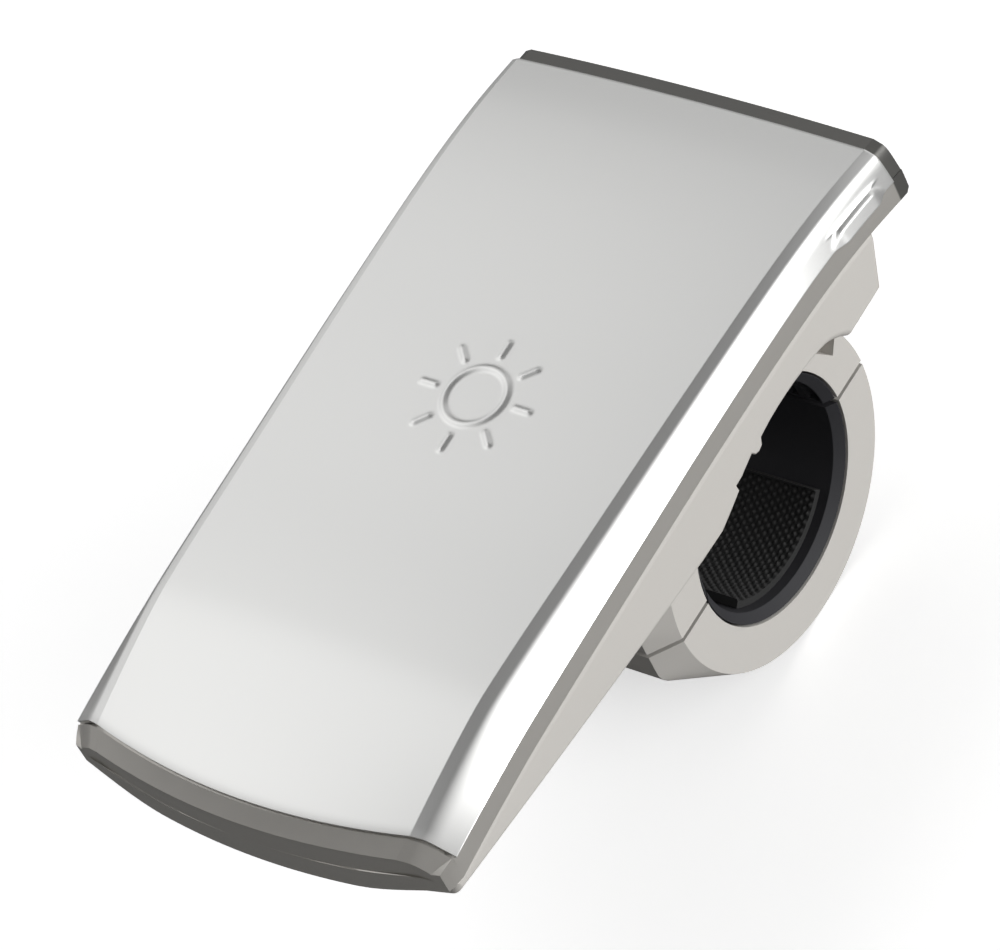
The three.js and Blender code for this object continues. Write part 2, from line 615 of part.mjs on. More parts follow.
const corner = ([x, y]) => `${y < 0 ? "front" : "back"}_${x < 0 ? "left" : "right"}`;
for (const place of screwPlaces()) {
  const screw = panScrew(22.7, [1.6, 2.6], [1.3, 34.5], place);
  light.add(part(`housing_screw_${corner(place)}`, screw, paint.zinc));
}
for (const place of saddleScrewPlaces()) {
  const screw = panScrew(SADDLE_SEATS[place[1] < 0 ? 0 : 1], [1.8, 2.7], [1.2, 9.5], place);
  light.add(part(`saddle_screw_${corner(place)}`, screw, paint.zinc));
}

export default light;
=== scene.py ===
import json
import math

import bmesh
import bpy
from bpy.props import FloatProperty, FloatVectorProperty, IntProperty, PointerProperty
from bpy.types import Operator, Panel, PropertyGroup
from mathutils import Matrix, Vector


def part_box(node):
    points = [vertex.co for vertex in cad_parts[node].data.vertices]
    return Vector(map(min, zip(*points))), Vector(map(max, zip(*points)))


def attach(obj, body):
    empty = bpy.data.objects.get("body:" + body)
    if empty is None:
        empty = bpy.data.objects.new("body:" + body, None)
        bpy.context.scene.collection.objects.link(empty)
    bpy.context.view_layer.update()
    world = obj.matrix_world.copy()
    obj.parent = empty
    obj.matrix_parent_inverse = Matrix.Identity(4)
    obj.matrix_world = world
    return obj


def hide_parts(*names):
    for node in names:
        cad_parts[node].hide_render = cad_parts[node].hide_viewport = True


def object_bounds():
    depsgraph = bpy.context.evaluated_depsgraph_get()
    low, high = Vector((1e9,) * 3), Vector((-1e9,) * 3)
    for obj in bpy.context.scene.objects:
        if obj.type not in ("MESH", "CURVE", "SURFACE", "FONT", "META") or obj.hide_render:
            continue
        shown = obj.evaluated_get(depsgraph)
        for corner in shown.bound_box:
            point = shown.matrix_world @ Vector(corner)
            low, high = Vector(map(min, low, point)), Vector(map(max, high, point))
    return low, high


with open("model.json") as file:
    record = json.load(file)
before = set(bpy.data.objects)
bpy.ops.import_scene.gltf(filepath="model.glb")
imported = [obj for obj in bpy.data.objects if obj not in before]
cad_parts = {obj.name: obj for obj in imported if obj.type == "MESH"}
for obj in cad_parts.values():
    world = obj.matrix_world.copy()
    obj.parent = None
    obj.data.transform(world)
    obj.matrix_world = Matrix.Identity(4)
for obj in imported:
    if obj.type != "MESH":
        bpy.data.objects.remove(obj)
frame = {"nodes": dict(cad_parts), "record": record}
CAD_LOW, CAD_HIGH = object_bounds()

bl_info = {
    "name": "Handle Light",
    "version": (1, 0, 0),
    "blender": (4, 5, 0),
    "location": "3D View > Sidebar > Handle Light",
    "description": "Builds a battery light that clamps on a round handle bar",
    "category": "Object",
}

# Shapes are drawn in millimetres and scaled once, when their mesh is finished.
MM = 0.001

FRONT_Y, BACK_Y = -79.2, 34.5  # cover's ends
HALF_WIDTH = 31.6  # cover's flange tips
CREASE_HALF, CREASE_TAPER = 27.0, 0.025  # crease's half width, and how it widens towards the back
CREASE_X, CREASE_EDGE = 28.0, 0.1  # a crisp crease where the cover's bend starts
KNEE, KNEE_EASE = Vector((29.85, 4.0)), 0.7  # the corner that the bend rounds
INSET_LEAN = 1.05  # an inset section moves in this much for each millimetre that it moves down
FLANGE_DROP = 4.8
GAP = 0.3
WALL = 1.6

MARK_Y, MARK_REACH = -20.0, 10.5  # the embossed mark's place and half size, where the mesh is finest
MARK_RING, MARK_RING_WIDTH = 4.6, 0.75
MARK_RAYS, MARK_RAY_FROM, MARK_RAY_TO, MARK_RAY_WIDTH = 8, 6.7, 9.0, 0.7
PULL_FROM, PULL_TO, PULL_ENDS = 19.6, 32.6, 3.0  # finger pulls in the cover's flanges

BAND, BAND_HALF = 4.2, 31.2  # frame's side below the flange tips
FRAME_INSET = 0.35  # the frame's lips lie this far inside the cover's outline
COVER_ROOM = 0.75  # under the cover's sheet
NOSE_DROP, NOSE_INSET = 1.5, 0.9  # slope of the frame's front lip
SKIRT_DEPTH = 0.9
TRAY_ROOM = 1.0
BACK_CHAMFER = ((28.0, 20.0), (45.0, 33.5))  # two (y, z) points on the frame's lower back slope
SCREWS_XY = [(x, y) for y in (-38.0, 22.4) for x in (-25.6, 25.6)]
SCREW_PILOT_R, SCREW_POST_R, SCREW_TOWER_R, SCREW_HOLE_R, SCREW_SINK_R = 1.6, 3.0, 3.3, 1.9, 3.0

HOUSING_HALF, HOUSING_ROUND = 31.0, 1.3
BACK_BLOCK_Z, BACK_BLOCK_Y, BACK_TOP_Y, BACK_TOP_Z = 18.1, 26.2, 28.4, 26.5
LENS_Y, LENS_SLOPE = -62.0, -0.115
LENS_HALF, LENS_PANE_HALF, LENS_PANE = (19.0, 7.5), (18.7, 7.2), 1.8
DOME_R, DOME_HEIGHT, DOME_FLATTEN, DOME_XS = 4.6, 1.5, 0.35, (-12, 0, 12)
BUTTON_Y, BUTTON_HOLE_R = -45.0, 4.5

RING_HALF = 21.6
SEAT_HALF = 21.9
RING_SPLIT, LINER_SPLIT = 0.36, 0.5  # half the seam between the ring's halves, and between the liners
EAR_Y, EAR_R, EAR_Z, EAR_HALF = -23.3, 5.3, 4.0, 18.2  # clamp screw and the rounded nose round it
CAP_HOLE_R, HEAD_ROOM_R, HEAD_ROOM_Z = 2.4, 3.9, -4.2
SADDLE_HOLE_R, NUT_ROOM_R, NUT_ROOM_Z = 2.7, 4.4, (3.6, 20.0)
FOOT_HALF, FOOT_Z, FOOT_YS = 17.6, (6.0, 17.4), ((-24.0, -15.0), (15.0, 25.2))
SADDLE_SCREWS_XY = [(x, y) for y in (-19.6, 20.4) for x in (-12.0, 12.0)]
SIDE_POCKET, SIDE_POCKET_X = [(20.4, 6.7), (22.1, 8.8), (18.6, 14.8), (15.8, 13.2)], 18.6
PIN_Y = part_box("hinge_pin")[1].y / MM - 1.5  # clamp hinge pin
PIN_HOLE_R, KNUCKLE_R, KNUCKLE_ROOM = 1.8, 3.4, 0.5
KNUCKLE_HALF, HINGE_HALF = 7.0, 15.0
LINER_OUTER, LINER_INNER, LINER_HALF, LINER_RIM = 17.7, 16.3, 21.4, 1.15
LINER_SLOTS = ((18.1, 20.0, 22.0), (15.2, 16.5, 18.0))  # (from x, to x, end in degrees)
PAD_FROM, PAD_TO = math.radians(222), math.radians(310)
PAD_INNER, PAD_OUTER, PAD_HALF, PAD_EDGE = 14.85, 16.2, 18.8, 0.3
PAD_ROW_PITCH, PAD_BUMP = 1.25, 0.38
FAR = 40.0  # beyond the part on every side

Z_TO_X = Matrix(((0, 0, 1), (1, 0, 0), (0, 1, 0))).to_4x4()


def smooth_curve(points):
    """A function that passes smoothly through (place, value) points."""
    places = [p for p, _ in points]
    values = [v for _, v in points]
    slopes = []
    for i in range(len(points)):
        a, b = max(i - 1, 0), min(i + 1, len(points) - 1)
        slopes.append((values[b] - values[a]) / (places[b] - places[a]))

    def value_at(place):
        i = max(0, min(len(places) - 2, sum(place > p for p in places) - 1))
        step = places[i + 1] - places[i]
        t = (place - places[i]) / step
        return (
            (2 * t**3 - 3 * t**2 + 1) * values[i]
            + (t**3 - 2 * t**2 + t) * step * slopes[i]
            + (3 * t**2 - 2 * t**3) * values[i + 1]
            + (t**3 - t**2) * step * slopes[i + 1]
        )

    return value_at


crease_z = smooth_curve([(-88, 31.6), (-79, 34.2), (-66, 37.3), (-59, 38.3), (-35, 38.9),
                         (-10, 39.4), (12, 39.4), (25, 38.5), (38, 36.5)])
tip_z = smooth_curve([(-88, 29.2), (-79, 31.0), (-66, 32.7), (-59, 33.3), (-35, 34.2),
                      (-10, 34.8), (12, 34.4), (25, 33.1), (38, 30.4)])


def ease(t):
    """0 to 1 with soft ends, and flat outside."""
    t = max(0.0, min(1.0, t))
    return t * t * (3 - 2 * t)


def bump(distance, reach):
    """1 at no distance, easing to 0 at reach."""
    return ease(1 - abs(distance) / reach)


def ramp(start, end, steps):
    return [start + (end - start) * k / steps for k in range(steps)]


def bow(x, y):
    """How far the front edge bulges forward at x, fading out behind the front."""
    sizes = bpy.context.scene.handle_light_sizes
    fade = ease((-60.0 - y) / (-60.0 - FRONT_Y))
    return sizes.front_bow / MM * fade * max(0.0, 1 - (x / HALF_WIDTH) ** 2)


def on_arch(x, y, level):
    """Places a cross-section point: level 0 is the flange tip's height, FLANGE_DROP the crease's."""
    low = tip_z(y)
    rise = crease_z(y) - low
    share = min(max(level, 0.0) / FLANGE_DROP, 1.0)
    width = 1 + share * CREASE_TAPER * y / CREASE_HALF
    height = level * rise / FLANGE_DROP if level > 0 else level
    return Vector((x * width, y - bow(x, y), low + height))


def cover_line(offset, foot, counts):
    """The cover's section from the right flange's foot over to the left one's, set in by an offset."""
    sizes = bpy.context.scene.handle_light_sizes
    flange_n, bend_n, coarse_n, fine_n = counts
    shift = Vector((-INSET_LEAN * offset, -offset))
    knee, flange_foot = KNEE + shift, Vector((HALF_WIDTH, 0.0)) + shift
    down = (flange_foot - knee).normalized()
    bend_from = knee + down * sizes.bend_length / MM
    crease = Vector((CREASE_X, FLANGE_DROP)) + shift
    inward = (crease - knee).normalized()
    bend_to = knee + inward * KNEE_EASE

    def crown_at(x):
        return crease.y + sizes.crown / MM * (1 - (x / crease.x) ** 2)

    foot_at = flange_foot + down * (foot - flange_foot.y) / down.y
    right = [foot_at.lerp(bend_from, k / flange_n) for k in range(flange_n)]
    for k in range(bend_n):
        t = k / bend_n
        right.append((1 - t) ** 2 * bend_from + 2 * t * (1 - t) * knee + t * t * bend_to)
    right += [bend_to, crease - inward * CREASE_EDGE]
    xs = [crease.x] + ramp(crease.x - CREASE_EDGE, MARK_REACH, coarse_n) + ramp(MARK_REACH, 0.0, fine_n)
    right += [Vector((x, crown_at(x))) for x in xs]
    left = [Vector((-p.x, p.y)) for p in reversed(right)]
    return right + [Vector((0.0, crown_at(0.0)))] + left


# ---- Mesh helpers ----
def skin(name, across, along, place, closed=True):
    """A grid whose vertices are placed by formula, from their column and row; open edges are capped."""
    bm = bmesh.new()
    bmesh.ops.create_grid(bm, x_segments=across - 1, y_segments=along - 1, size=1.0)
    assert len(bm.verts) == across * along, name
    for v in bm.verts:
        column = round((v.co.x + 1) / 2 * (across - 1))
        row = round((v.co.y + 1) / 2 * (along - 1))
        v.co = place(column, row)
    bmesh.ops.remove_doubles(bm, verts=bm.verts, dist=0.004)
    if closed:
        bmesh.ops.holes_fill(bm, edges=[e for e in bm.edges if e.is_boundary], sides=0)
    bmesh.ops.recalc_face_normals(bm, faces=bm.faces)
    return finish_mesh(name, bm)


def finish_mesh(name, bm):
    bmesh.ops.dissolve_degenerate(bm, dist=0.002, edges=bm.edges)
    bmesh.ops.scale(bm, vec=(MM, MM, MM), verts=bm.verts)
    mesh = bpy.data.meshes.new(name)
    bm.to_mesh(mesh)
    bm.free()
    piece = bpy.data.objects.new(name, mesh)
    bpy.context.scene.collection.objects.link(piece)
    return piece


def block(low, high, edge=0.0, turn=None):
    """A box between two corners, with its edges bevelled."""
    bm = bmesh.new()
    low, high = Vector(low), Vector(high)
    bmesh.ops.create_cube(bm, size=1.0)
    bmesh.ops.scale(bm, vec=high - low, verts=bm.verts)
    if edge:
        bmesh.ops.bevel(bm, geom=bm.edges[:] + bm.verts[:], offset=edge, segments=3, profile=0.5,
                        affect="EDGES", material=-1)
    bmesh.ops.translate(bm, vec=(low + high) / 2, verts=bm.verts)
    if turn:
        bmesh.ops.transform(bm, matrix=turn, verts=bm.verts)
    return finish_mesh("block", bm)


def drum(axis, radius, start, end, centre, sides=64):
    """A cylinder along X or Z; the centre gives the other two coordinates."""
    bm = bmesh.new()
    bmesh.ops.create_cone(bm, cap_ends=True, segments=sides, radius1=radius, radius2=radius,
                          depth=end - start)
    bmesh.ops.translate(bm, vec=(0, 0, (start + end) / 2), verts=bm.verts)
    if axis == "x":
        bmesh.ops.transform(bm, matrix=Z_TO_X, verts=bm.verts)
    place = (0, *centre) if axis == "x" else (*centre, 0)
    bmesh.ops.translate(bm, vec=place, verts=bm.verts)
    return finish_mesh("drum", bm)


def spun(name, outline, axis, centre, start=0.0, angle=2 * math.pi, steps=96):
    """An outline of (along the axis, radius) points spun round X, Y or Z."""
    full = angle > 2 * math.pi - 1e-6
    bm = bmesh.new()
    arms = {"x": (Vector((1, 0, 0)), Vector((0, 1, 0))), "y": (Vector((0, 1, 0)), Vector((1, 0, 0))),
            "z": (Vector((0, 0, 1)), Vector((1, 0, 0)))}
    along, out = arms[axis]
    out = Matrix.Rotation(start, 3, along) @ out
    verts = [bm.verts.new(along * a + out * r) for a, r in outline]
    profile = bm.faces.new(verts)
    geom = [profile, *profile.edges, *profile.verts]
    bmesh.ops.spin(bm, geom=geom, cent=(0, 0, 0), axis=along, dvec=(0, 0, 0), angle=angle, steps=steps,
                   use_merge=full, use_duplicate=False)
    if full:
        inside = [f for f in bm.faces if len(f.verts) == len(outline) and len(outline) > 4]
        bmesh.ops.delete(bm, geom=inside, context="FACES_ONLY")
    bmesh.ops.remove_doubles(bm, verts=bm.verts, dist=0.002)
    bmesh.ops.recalc_face_normals(bm, faces=bm.faces)
    bmesh.ops.translate(bm, vec=centre, verts=bm.verts)
    return finish_mesh(name, bm)


def combine(piece, tools, operation="DIFFERENCE"):
    """Cuts the tools out of the piece, or joins them to it, and removes them."""
    for tool in tools:
        modifier = piece.modifiers.new(operation.lower(), "BOOLEAN")
        modifier.operation = operation
        modifier.solver = "EXACT"
        modifier.object = tool
        graph = bpy.context.evaluated_depsgraph_get()
        result = bpy.data.meshes.new_from_object(piece.evaluated_get(graph))
        piece.modifiers.clear()
        old = piece.data
        piece.data = result
        result.name = piece.name
        bpy.data.meshes.remove(old)
        bpy.data.objects.remove(tool)
    if not piece.data.vertices:
        raise RuntimeError(f"{piece.name} came out empty")


def soften(piece, width, segments=3, angle=38.0):
    """Rounds the edges sharper than an angle and shades the rest smooth."""
    bevel = piece.modifiers.new("edge_round", "BEVEL")
    bevel.width = width * MM
    bevel.segments = segments
    bevel.limit_method = "ANGLE"
    bevel.angle_limit = math.radians(angle)
    bevel.use_clamp_overlap = True
    shade(piece)
    weighted = piece.modifiers.new("even_shading", "WEIGHTED_NORMAL")
    weighted.keep_sharp = True
    weighted.weight = 60


def shade(piece, angle=38.0):
    piece.data.shade_smooth()
    piece.data.set_sharp_from_angle(angle=math.radians(angle))


def settle(piece, body, slot, node, finish=None):
    """Gives a finished piece its material (its own finish, or else its slot's), parents it to its body, and
    hides the CAD node that it stands for.
    """
    piece.data.materials.clear()
    piece.data.materials.append(library()[finish or slot])
    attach(piece, body)
    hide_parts(node)


# ---- Shared effects ----
def node_group(name, inputs, outputs):
    """An empty group with float inputs {name: default} and float outputs."""
    group = bpy.data.node_groups.new(name, "ShaderNodeTree")
    for label, default in inputs.items():
        socket = group.interface.new_socket(label, in_out="INPUT", socket_type="NodeSocketFloat")
        socket.default_value = default
    for label in outputs:
        group.interface.new_socket(label, in_out="OUTPUT", socket_type="NodeSocketFloat")
    return group, group.nodes.new("NodeGroupInput"), group.nodes.new("NodeGroupOutput")


def math_node(tree, operation, a, b):
    node = tree.nodes.new("ShaderNodeMath")
    node.operation = operation
    for socket, value in zip(node.inputs, (a, b)):
        if hasattr(value, "is_output"):
            tree.links.new(value, socket)
        else:
            socket.default_value = value
    return node.outputs[0]


FINE_SCRATCH, BROAD_SCRATCH = ((55, 2600, 900), 3.0), ((18, 900, 300), 2.0)  # (stretch, noise detail)
GRAIN_CONTRAST = 3.2


def grain_group():
    """Scratches that run along X; Streak shares them between fine and broad ones."""
    group, given, out = node_group("brushed_grain", {"Fineness": 1.0, "Streak": 0.5}, ["Grain"])
    coords = group.nodes.new("ShaderNodeTexCoord")
    values = []
    for stretch, detail in (FINE_SCRATCH, BROAD_SCRATCH):
        mapping = group.nodes.new("ShaderNodeMapping")
        mapping.inputs["Scale"].default_value = stretch
        noise = group.nodes.new("ShaderNodeTexNoise")
        noise.inputs["Detail"].default_value = detail
        group.links.new(coords.outputs["Object"], mapping.inputs["Vector"])
        group.links.new(mapping.outputs[0], noise.inputs["Vector"])
        group.links.new(given.outputs["Fineness"], noise.inputs["Scale"])
        values.append(noise.outputs["Fac"])
    fine = math_node(group, "MULTIPLY", values[0], given.outputs["Streak"])
    rest = math_node(group, "SUBTRACT", 1.0, given.outputs["Streak"])
    broad = math_node(group, "MULTIPLY", values[1], rest)
    mixed = math_node(group, "MULTIPLY", math_node(group, "ADD", fine, broad), GRAIN_CONTRAST)
    grain = math_node(group, "SUBTRACT", mixed, (GRAIN_CONTRAST - 1) / 2)
    group.links.new(grain, out.inputs["Grain"])
    return group


def speckle_group():
    """The fine tooth of sprayed paint or moulded plastic, with a slow cloudiness."""
    group, given, out = node_group("surface_tooth", {"Size": 3000.0, "Cloud": 60.0}, ["Tooth", "Cloudiness"])
    coords = group.nodes.new("ShaderNodeTexCoord")
    for scale, detail, label in (("Size", 2.0, "Tooth"), ("Cloud", 3.0, "Cloudiness")):
        noise = group.nodes.new("ShaderNodeTexNoise")
        noise.inputs["Detail"].default_value = detail
        group.links.new(coords.outputs["Object"], noise.inputs["Vector"])
        group.links.new(given.outputs[scale], noise.inputs["Scale"])
        group.links.new(noise.outputs["Fac"], out.inputs[label])
    return group


def wear_group():
    """1 on sharp outer edges, broken up by noise."""
    group, given, out = node_group("edge_wear", {"Amount": 1.0}, ["Wear"])
    geometry = group.nodes.new("ShaderNodeNewGeometry")
    edge = group.nodes.new("ShaderNodeMapRange")
    edge.inputs["From Min"].default_value = 0.53
    edge.inputs["From Max"].default_value = 0.62
    group.links.new(geometry.outputs["Pointiness"], edge.inputs["Value"])
    coords = group.nodes.new("ShaderNodeTexCoord")
    noise = group.nodes.new("ShaderNodeTexNoise")
    noise.inputs["Scale"].default_value = 700.0
    group.links.new(coords.outputs["Object"], noise.inputs["Vector"])
    broken = math_node(group, "MULTIPLY", edge.outputs[0], noise.outputs["Fac"])
    group.links.new(math_node(group, "MULTIPLY", broken, given.outputs["Amount"]), out.inputs["Wear"])
    return group


def shared(name):
    makers = {"brushed_grain": grain_group, "surface_tooth": speckle_group, "edge_wear": wear_group}
    return bpy.data.node_groups.get(name) or makers[name]()


class Finish:
    """One material: its Principled shader and short ways to add to it."""

    def __init__(self, name, **constants):
        self.material = bpy.data.materials.new(name)
        self.material.use_nodes = True
        self.tree = self.material.node_tree
        self.shader = self.tree.nodes["Principled BSDF"]
        for label, value in constants.items():
            self.shader.inputs[label.replace("_", " ")].default_value = value

    def effect(self, name, **values):
        node = self.tree.nodes.new("ShaderNodeGroup")
        node.node_tree = shared(name)
        for label, value in values.items():
            node.inputs[label].default_value = value
        return node.outputs

    def blend(self, factor, low, high, label="Base Color"):
        """Drives a socket between two colours or two numbers."""
        if isinstance(low, tuple):
            mix = self.tree.nodes.new("ShaderNodeMix")
            mix.data_type = "RGBA"
            mix.inputs[6].default_value = (*low, 1)
            mix.inputs[7].default_value = (*high, 1)
            self.tree.links.new(factor, mix.inputs[0])
            result = mix.outputs[2]
        else:
            spread = self.tree.nodes.new("ShaderNodeMapRange")
            spread.inputs["To Min"].default_value = low
            spread.inputs["To Max"].default_value = high
            self.tree.links.new(factor, spread.inputs["Value"])
            result = spread.outputs[0]
        self.tree.links.new(result, self.shader.inputs[label])

    def relief(self, height, strength, distance):
        node = self.tree.nodes.new("ShaderNodeBump")
        node.inputs["Strength"].default_value = strength
        node.inputs["Distance"].default_value = distance
        self.tree.links.new(height, node.inputs["Height"])
        self.tree.links.new(node.outputs[0], self.shader.inputs["Normal"])


def around(colour, amount):
    """A darker and a lighter version of a colour."""
    return tuple(c * (1 - amount) for c in colour), tuple(min(c * (1 + amount), 1.0) for c in colour)


def brushed_steel():
    colours = bpy.context.scene.handle_light_colours
    finish = Finish("brushed_cover", Metallic=1.0, Anisotropic=0.7, Anisotropic_Rotation=0.25)
    grain = finish.effect("brushed_grain", Fineness=0.4, Streak=0.6)
    low, high = around(tuple(colours.steel), 0.20)
    finish.blend(grain["Grain"], low, high)
    finish.blend(grain["Grain"], 0.22, 0.40, "Roughness")
    finish.relief(grain["Grain"], 0.12, 0.00004)
    tangent = finish.tree.nodes.new("ShaderNodeCombineXYZ")
    tangent.inputs[0].default_value = 1.0
    finish.tree.links.new(tangent.outputs[0], finish.shader.inputs["Tangent"])
    return finish.material


def toothed(name, colour, roughness, metallic, tooth, depth, variation):
    """Paint, plastic or rubber: a tooth, a cloudy colour and slightly worn edges."""
    finish = Finish(name, Metallic=metallic)
    surface = finish.effect("surface_tooth", Size=tooth, Cloud=45.0)
    low, high = around(colour, variation)
    finish.blend(surface["Cloudiness"], low, high)
    wear = finish.effect("edge_wear", Amount=1.0)["Wear"]
    finish.blend(wear, roughness, roughness * 0.7, "Roughness")
    finish.relief(surface["Tooth"], 0.35, depth)
    return finish.material


def painted_lip_shade(material, colour):
    """Paints shade on the frame's back lip behind the cover: past the cover's back end the base colour turns
    to a darker grey.
    """
    tree = material.node_tree
    base = tree.nodes["Principled BSDF"].inputs["Base Color"]
    along = tree.nodes.new("ShaderNodeSeparateXYZ")
    tree.links.new(tree.nodes.new("ShaderNodeTexCoord").outputs["Object"], along.inputs[0])
    # 1 past the cover's back end, where the painted shade goes
    lip_shade_mask = tree.nodes.new("ShaderNodeMapRange")
    lip_shade_mask.inputs["From Min"].default_value = BACK_Y * MM
    lip_shade_mask.inputs["From Max"].default_value = (BACK_Y + GAP) * MM
    tree.links.new(along.outputs["Y"], lip_shade_mask.inputs["Value"])
    mix = tree.nodes.new("ShaderNodeMix")
    mix.data_type = "RGBA"
    tree.links.new(lip_shade_mask.outputs[0], mix.inputs[0])
    tree.links.new(base.links[0].from_socket, mix.inputs[6])
    mix.inputs[7].default_value = (*colour, 1)
    tree.links.new(mix.outputs[2], base)
    return material


def plated(name, colour, roughness):
    """Plated metal with a cloudy colour and an uneven gloss."""
    finish = Finish(name, Metallic=1.0)
    surface = finish.effect("surface_tooth", Size=900.0, Cloud=120.0)
    low, high = around(colour, 0.08)
    finish.blend(surface["Cloudiness"], low, high)
    finish.blend(surface["Tooth"], roughness * 0.7, roughness * 1.3, "Roughness")
    return finish.material


def clear_lens():
    finish = Finish("clear_lens", Metallic=0.0, Transmission_Weight=1.0, IOR=1.49)
    surface = finish.effect("surface_tooth", Size=500.0, Cloud=40.0)
    finish.blend(surface["Cloudiness"], (0.90, 0.93, 0.94), (0.97, 0.98, 0.99))
    finish.blend(surface["Tooth"], 0.03, 0.08, "Roughness")
    return finish.material


def library():
    """Every material by name, made once."""
    colours = bpy.context.scene.handle_light_colours
    paint, liner, rubber = tuple(colours.paint), tuple(colours.liner), tuple(colours.rubber)
    satin = (paint, 0.40, 0.55, 4200.0, 0.00002, 0.03)
    plain = {  # colour, roughness, metallic, tooth, depth, variation
        "silver_plastic": satin,
        "black_plastic": (liner, 0.48, 0.0, 2600.0, 0.00003, 0.15),
        "grip_rubber": (rubber, 0.62, 0.0, 1800.0, 0.00004, 0.2),
        "board_green": ((0.02, 0.13, 0.06), 0.3, 0.0, 900.0, 0.00001, 0.2),
        "led_yellow": ((0.85, 0.70, 0.16), 0.35, 0.0, 1500.0, 0.00002, 0.1),
        "cell_wrap": ((0.09, 0.12, 0.16), 0.25, 0.3, 800.0, 0.00001, 0.12),
    }
    metal = {  # colour, roughness
        "zinc_steel": ((0.70, 0.71, 0.72), 0.24),
        "nickel_contact": ((0.74, 0.71, 0.66), 0.2),
        "bright_reflector": ((0.86, 0.86, 0.87), 0.08),
    }
    makers = {
        "brushed_cover": brushed_steel,
        "clear_lens": clear_lens,
        # The frame's satin paint, with painted shade on its back lip in the colour (0.14, 0.138, 0.13).
        "frame_silver_painted_shade": lambda: painted_lip_shade(toothed("frame_silver_painted_shade", *satin), (0.14, 0.138, 0.13)),
    }
    makers |= {name: lambda n=name: toothed(n, *plain[n]) for name in plain}
    makers |= {name: lambda n=name: plated(n, *metal[n]) for name in metal}
    return {name: bpy.data.materials.get(name) or make() for name, make in makers.items()}


# ---- User sizes and colours ----
def length(name, description, value):
    return FloatProperty(name=name, description=description, default=value * MM, unit="LENGTH", precision=5)


def tint(name, description, value):
    return FloatVectorProperty(name=name, description=description, default=value, subtype="COLOR",
                               min=0, max=1)


class HandleLightSizes(PropertyGroup):
    sheet: length("Cover Sheet", "Thickness of the steel cover", 0.7)
    crown: length("Crown", "Rise of the cover between its two bends", 0.72)
    bend_length: length("Bend Length", "How far the bend eases down the flange", 1.7)
    front_bow: length("Front Bow", "How far the front edge bulges forward", 4.2)
    mark_depth: length("Mark Height", "Height of the embossed light symbol", 0.28)
    pull_depth: length("Finger Pull", "How far the finger pulls stand out", 0.85)
    lip: length("Frame Lip", "Frame beyond each end of the cover", 2.2)
    bore_radius: length("Bore Radius", "Inside of the clamp ring", 18)
    ring_radius: length("Ring Radius", "Outside of the clamp ring", 24.6)
    pad_pitch: length("Knurl Pitch", "Spacing of the grip pad's bumps along the bar", 0.75)
    spin_steps: IntProperty(name="Ring Steps", default=72, min=12, description="Segments in half a ring")


class HandleLightColours(PropertyGroup):
    steel: tint("Steel", "Brushed cover", (0.80, 0.80, 0.79))
    paint: tint("Paint", "Satin silver housing", (0.60, 0.58, 0.545))
    liner: tint("Liner", "Black clamp liners", (0.022, 0.022, 0.023))
    rubber: tint("Rubber", "Grip pad, gasket and button", (0.014, 0.014, 0.015))


# ---- Steel cover ----
def mark_height(x, y):
    """A plain light symbol: a ring with short rays round it."""
    r = math.hypot(x, y)
    ring = bump(r - MARK_RING, MARK_RING_WIDTH)
    spoke = 2 * math.pi / MARK_RAYS
    away = (math.atan2(y, x) + spoke / 2) % spoke - spoke / 2
    beyond = max(MARK_RAY_FROM - r, r - MARK_RAY_TO, 0.0)
    ray = bump(math.hypot(r * math.sin(away), beyond), MARK_RAY_WIDTH)
    return max(ring, ray)


def pull_shape(share, y):
    """Outward and downward push of a flange point; share is 0 at the foot and 1 at the bend."""
    swell_top, swell_ease, end_drop = 0.84, 0.36, 0.4
    groove_at, groove_reach, groove_depth = 0.86, 0.12, 0.5
    ends = ease((y - PULL_FROM) / PULL_ENDS) * ease((PULL_TO - y) / PULL_ENDS)
    swell = ease((swell_top - end_drop * (1 - ends) - share) / swell_ease)
    groove = bump(share - groove_at, groove_reach)
    depth = bpy.context.scene.handle_light_sizes.pull_depth / MM
    return ends * depth * (swell - groove_depth * groove), ends * max(0.0, 0.5 - share)


def build_cover():
    """A sheet pressed over the frame: crowned, bent at both sides, embossed, and pulled out at its grips."""
    sizes = bpy.context.scene.handle_light_sizes
    counts = (20, 8, 9, 38)
    line = cover_line(0.0, 0.0, counts)
    last = len(line) - 1
    mark_low, mark_high, pull_low = MARK_Y - MARK_REACH, MARK_Y + MARK_REACH, PULL_FROM - 1
    front_zone = -56
    rows = (ramp(FRONT_Y, front_zone, 16) + ramp(front_zone, mark_low, 12) + ramp(mark_low, mark_high, 76)
            + ramp(mark_high, pull_low, 14) + ramp(pull_low, BACK_Y, 48) + [BACK_Y])

    def place(column, row):
        y = rows[row]
        x, level = line[column]
        point = on_arch(x, y, level)
        point.z += sizes.mark_depth / MM * mark_height(x, y - MARK_Y)
        from_foot = min(column, last - column)
        if from_foot < counts[0]:
            out, down = pull_shape(from_foot / counts[0], y)
            point += Vector((math.copysign(0.72 * out + 0.3 * down, x), 0, 0.35 * out - 0.9 * down))
        return point

    cover = skin("cover_sheet", len(line), len(rows), place, closed=False)
    solid = cover.modifiers.new("sheet", "SOLIDIFY")
    solid.thickness = sizes.sheet
    solid.offset = -1.0
    rim = cover.modifiers.new("rim_round", "BEVEL")
    rim.width = 0.1 * MM
    rim.segments = 2
    rim.limit_method = "ANGLE"
    rim.angle_limit = math.radians(60)
    shade(cover, 60)
    return cover


# ---- Upper frame ----
def frame_section(offset, ledge, half=BAND_HALF):
    """A closed section of the frame: over the top from right to left, and back along the bottom."""
    top = cover_line(offset, ledge, (2, 8, 8, 6))
    sides = [(half, -BAND), (half, -BAND / 2), (half, ledge)]
    path = [Vector(p) for p in sides] + top + [Vector((-x, z)) for x, z in reversed(sides)]
    under = [Vector((max(-half, min(half, p.x)), -BAND)) for p in reversed(path[1:-1])]
    return path, under


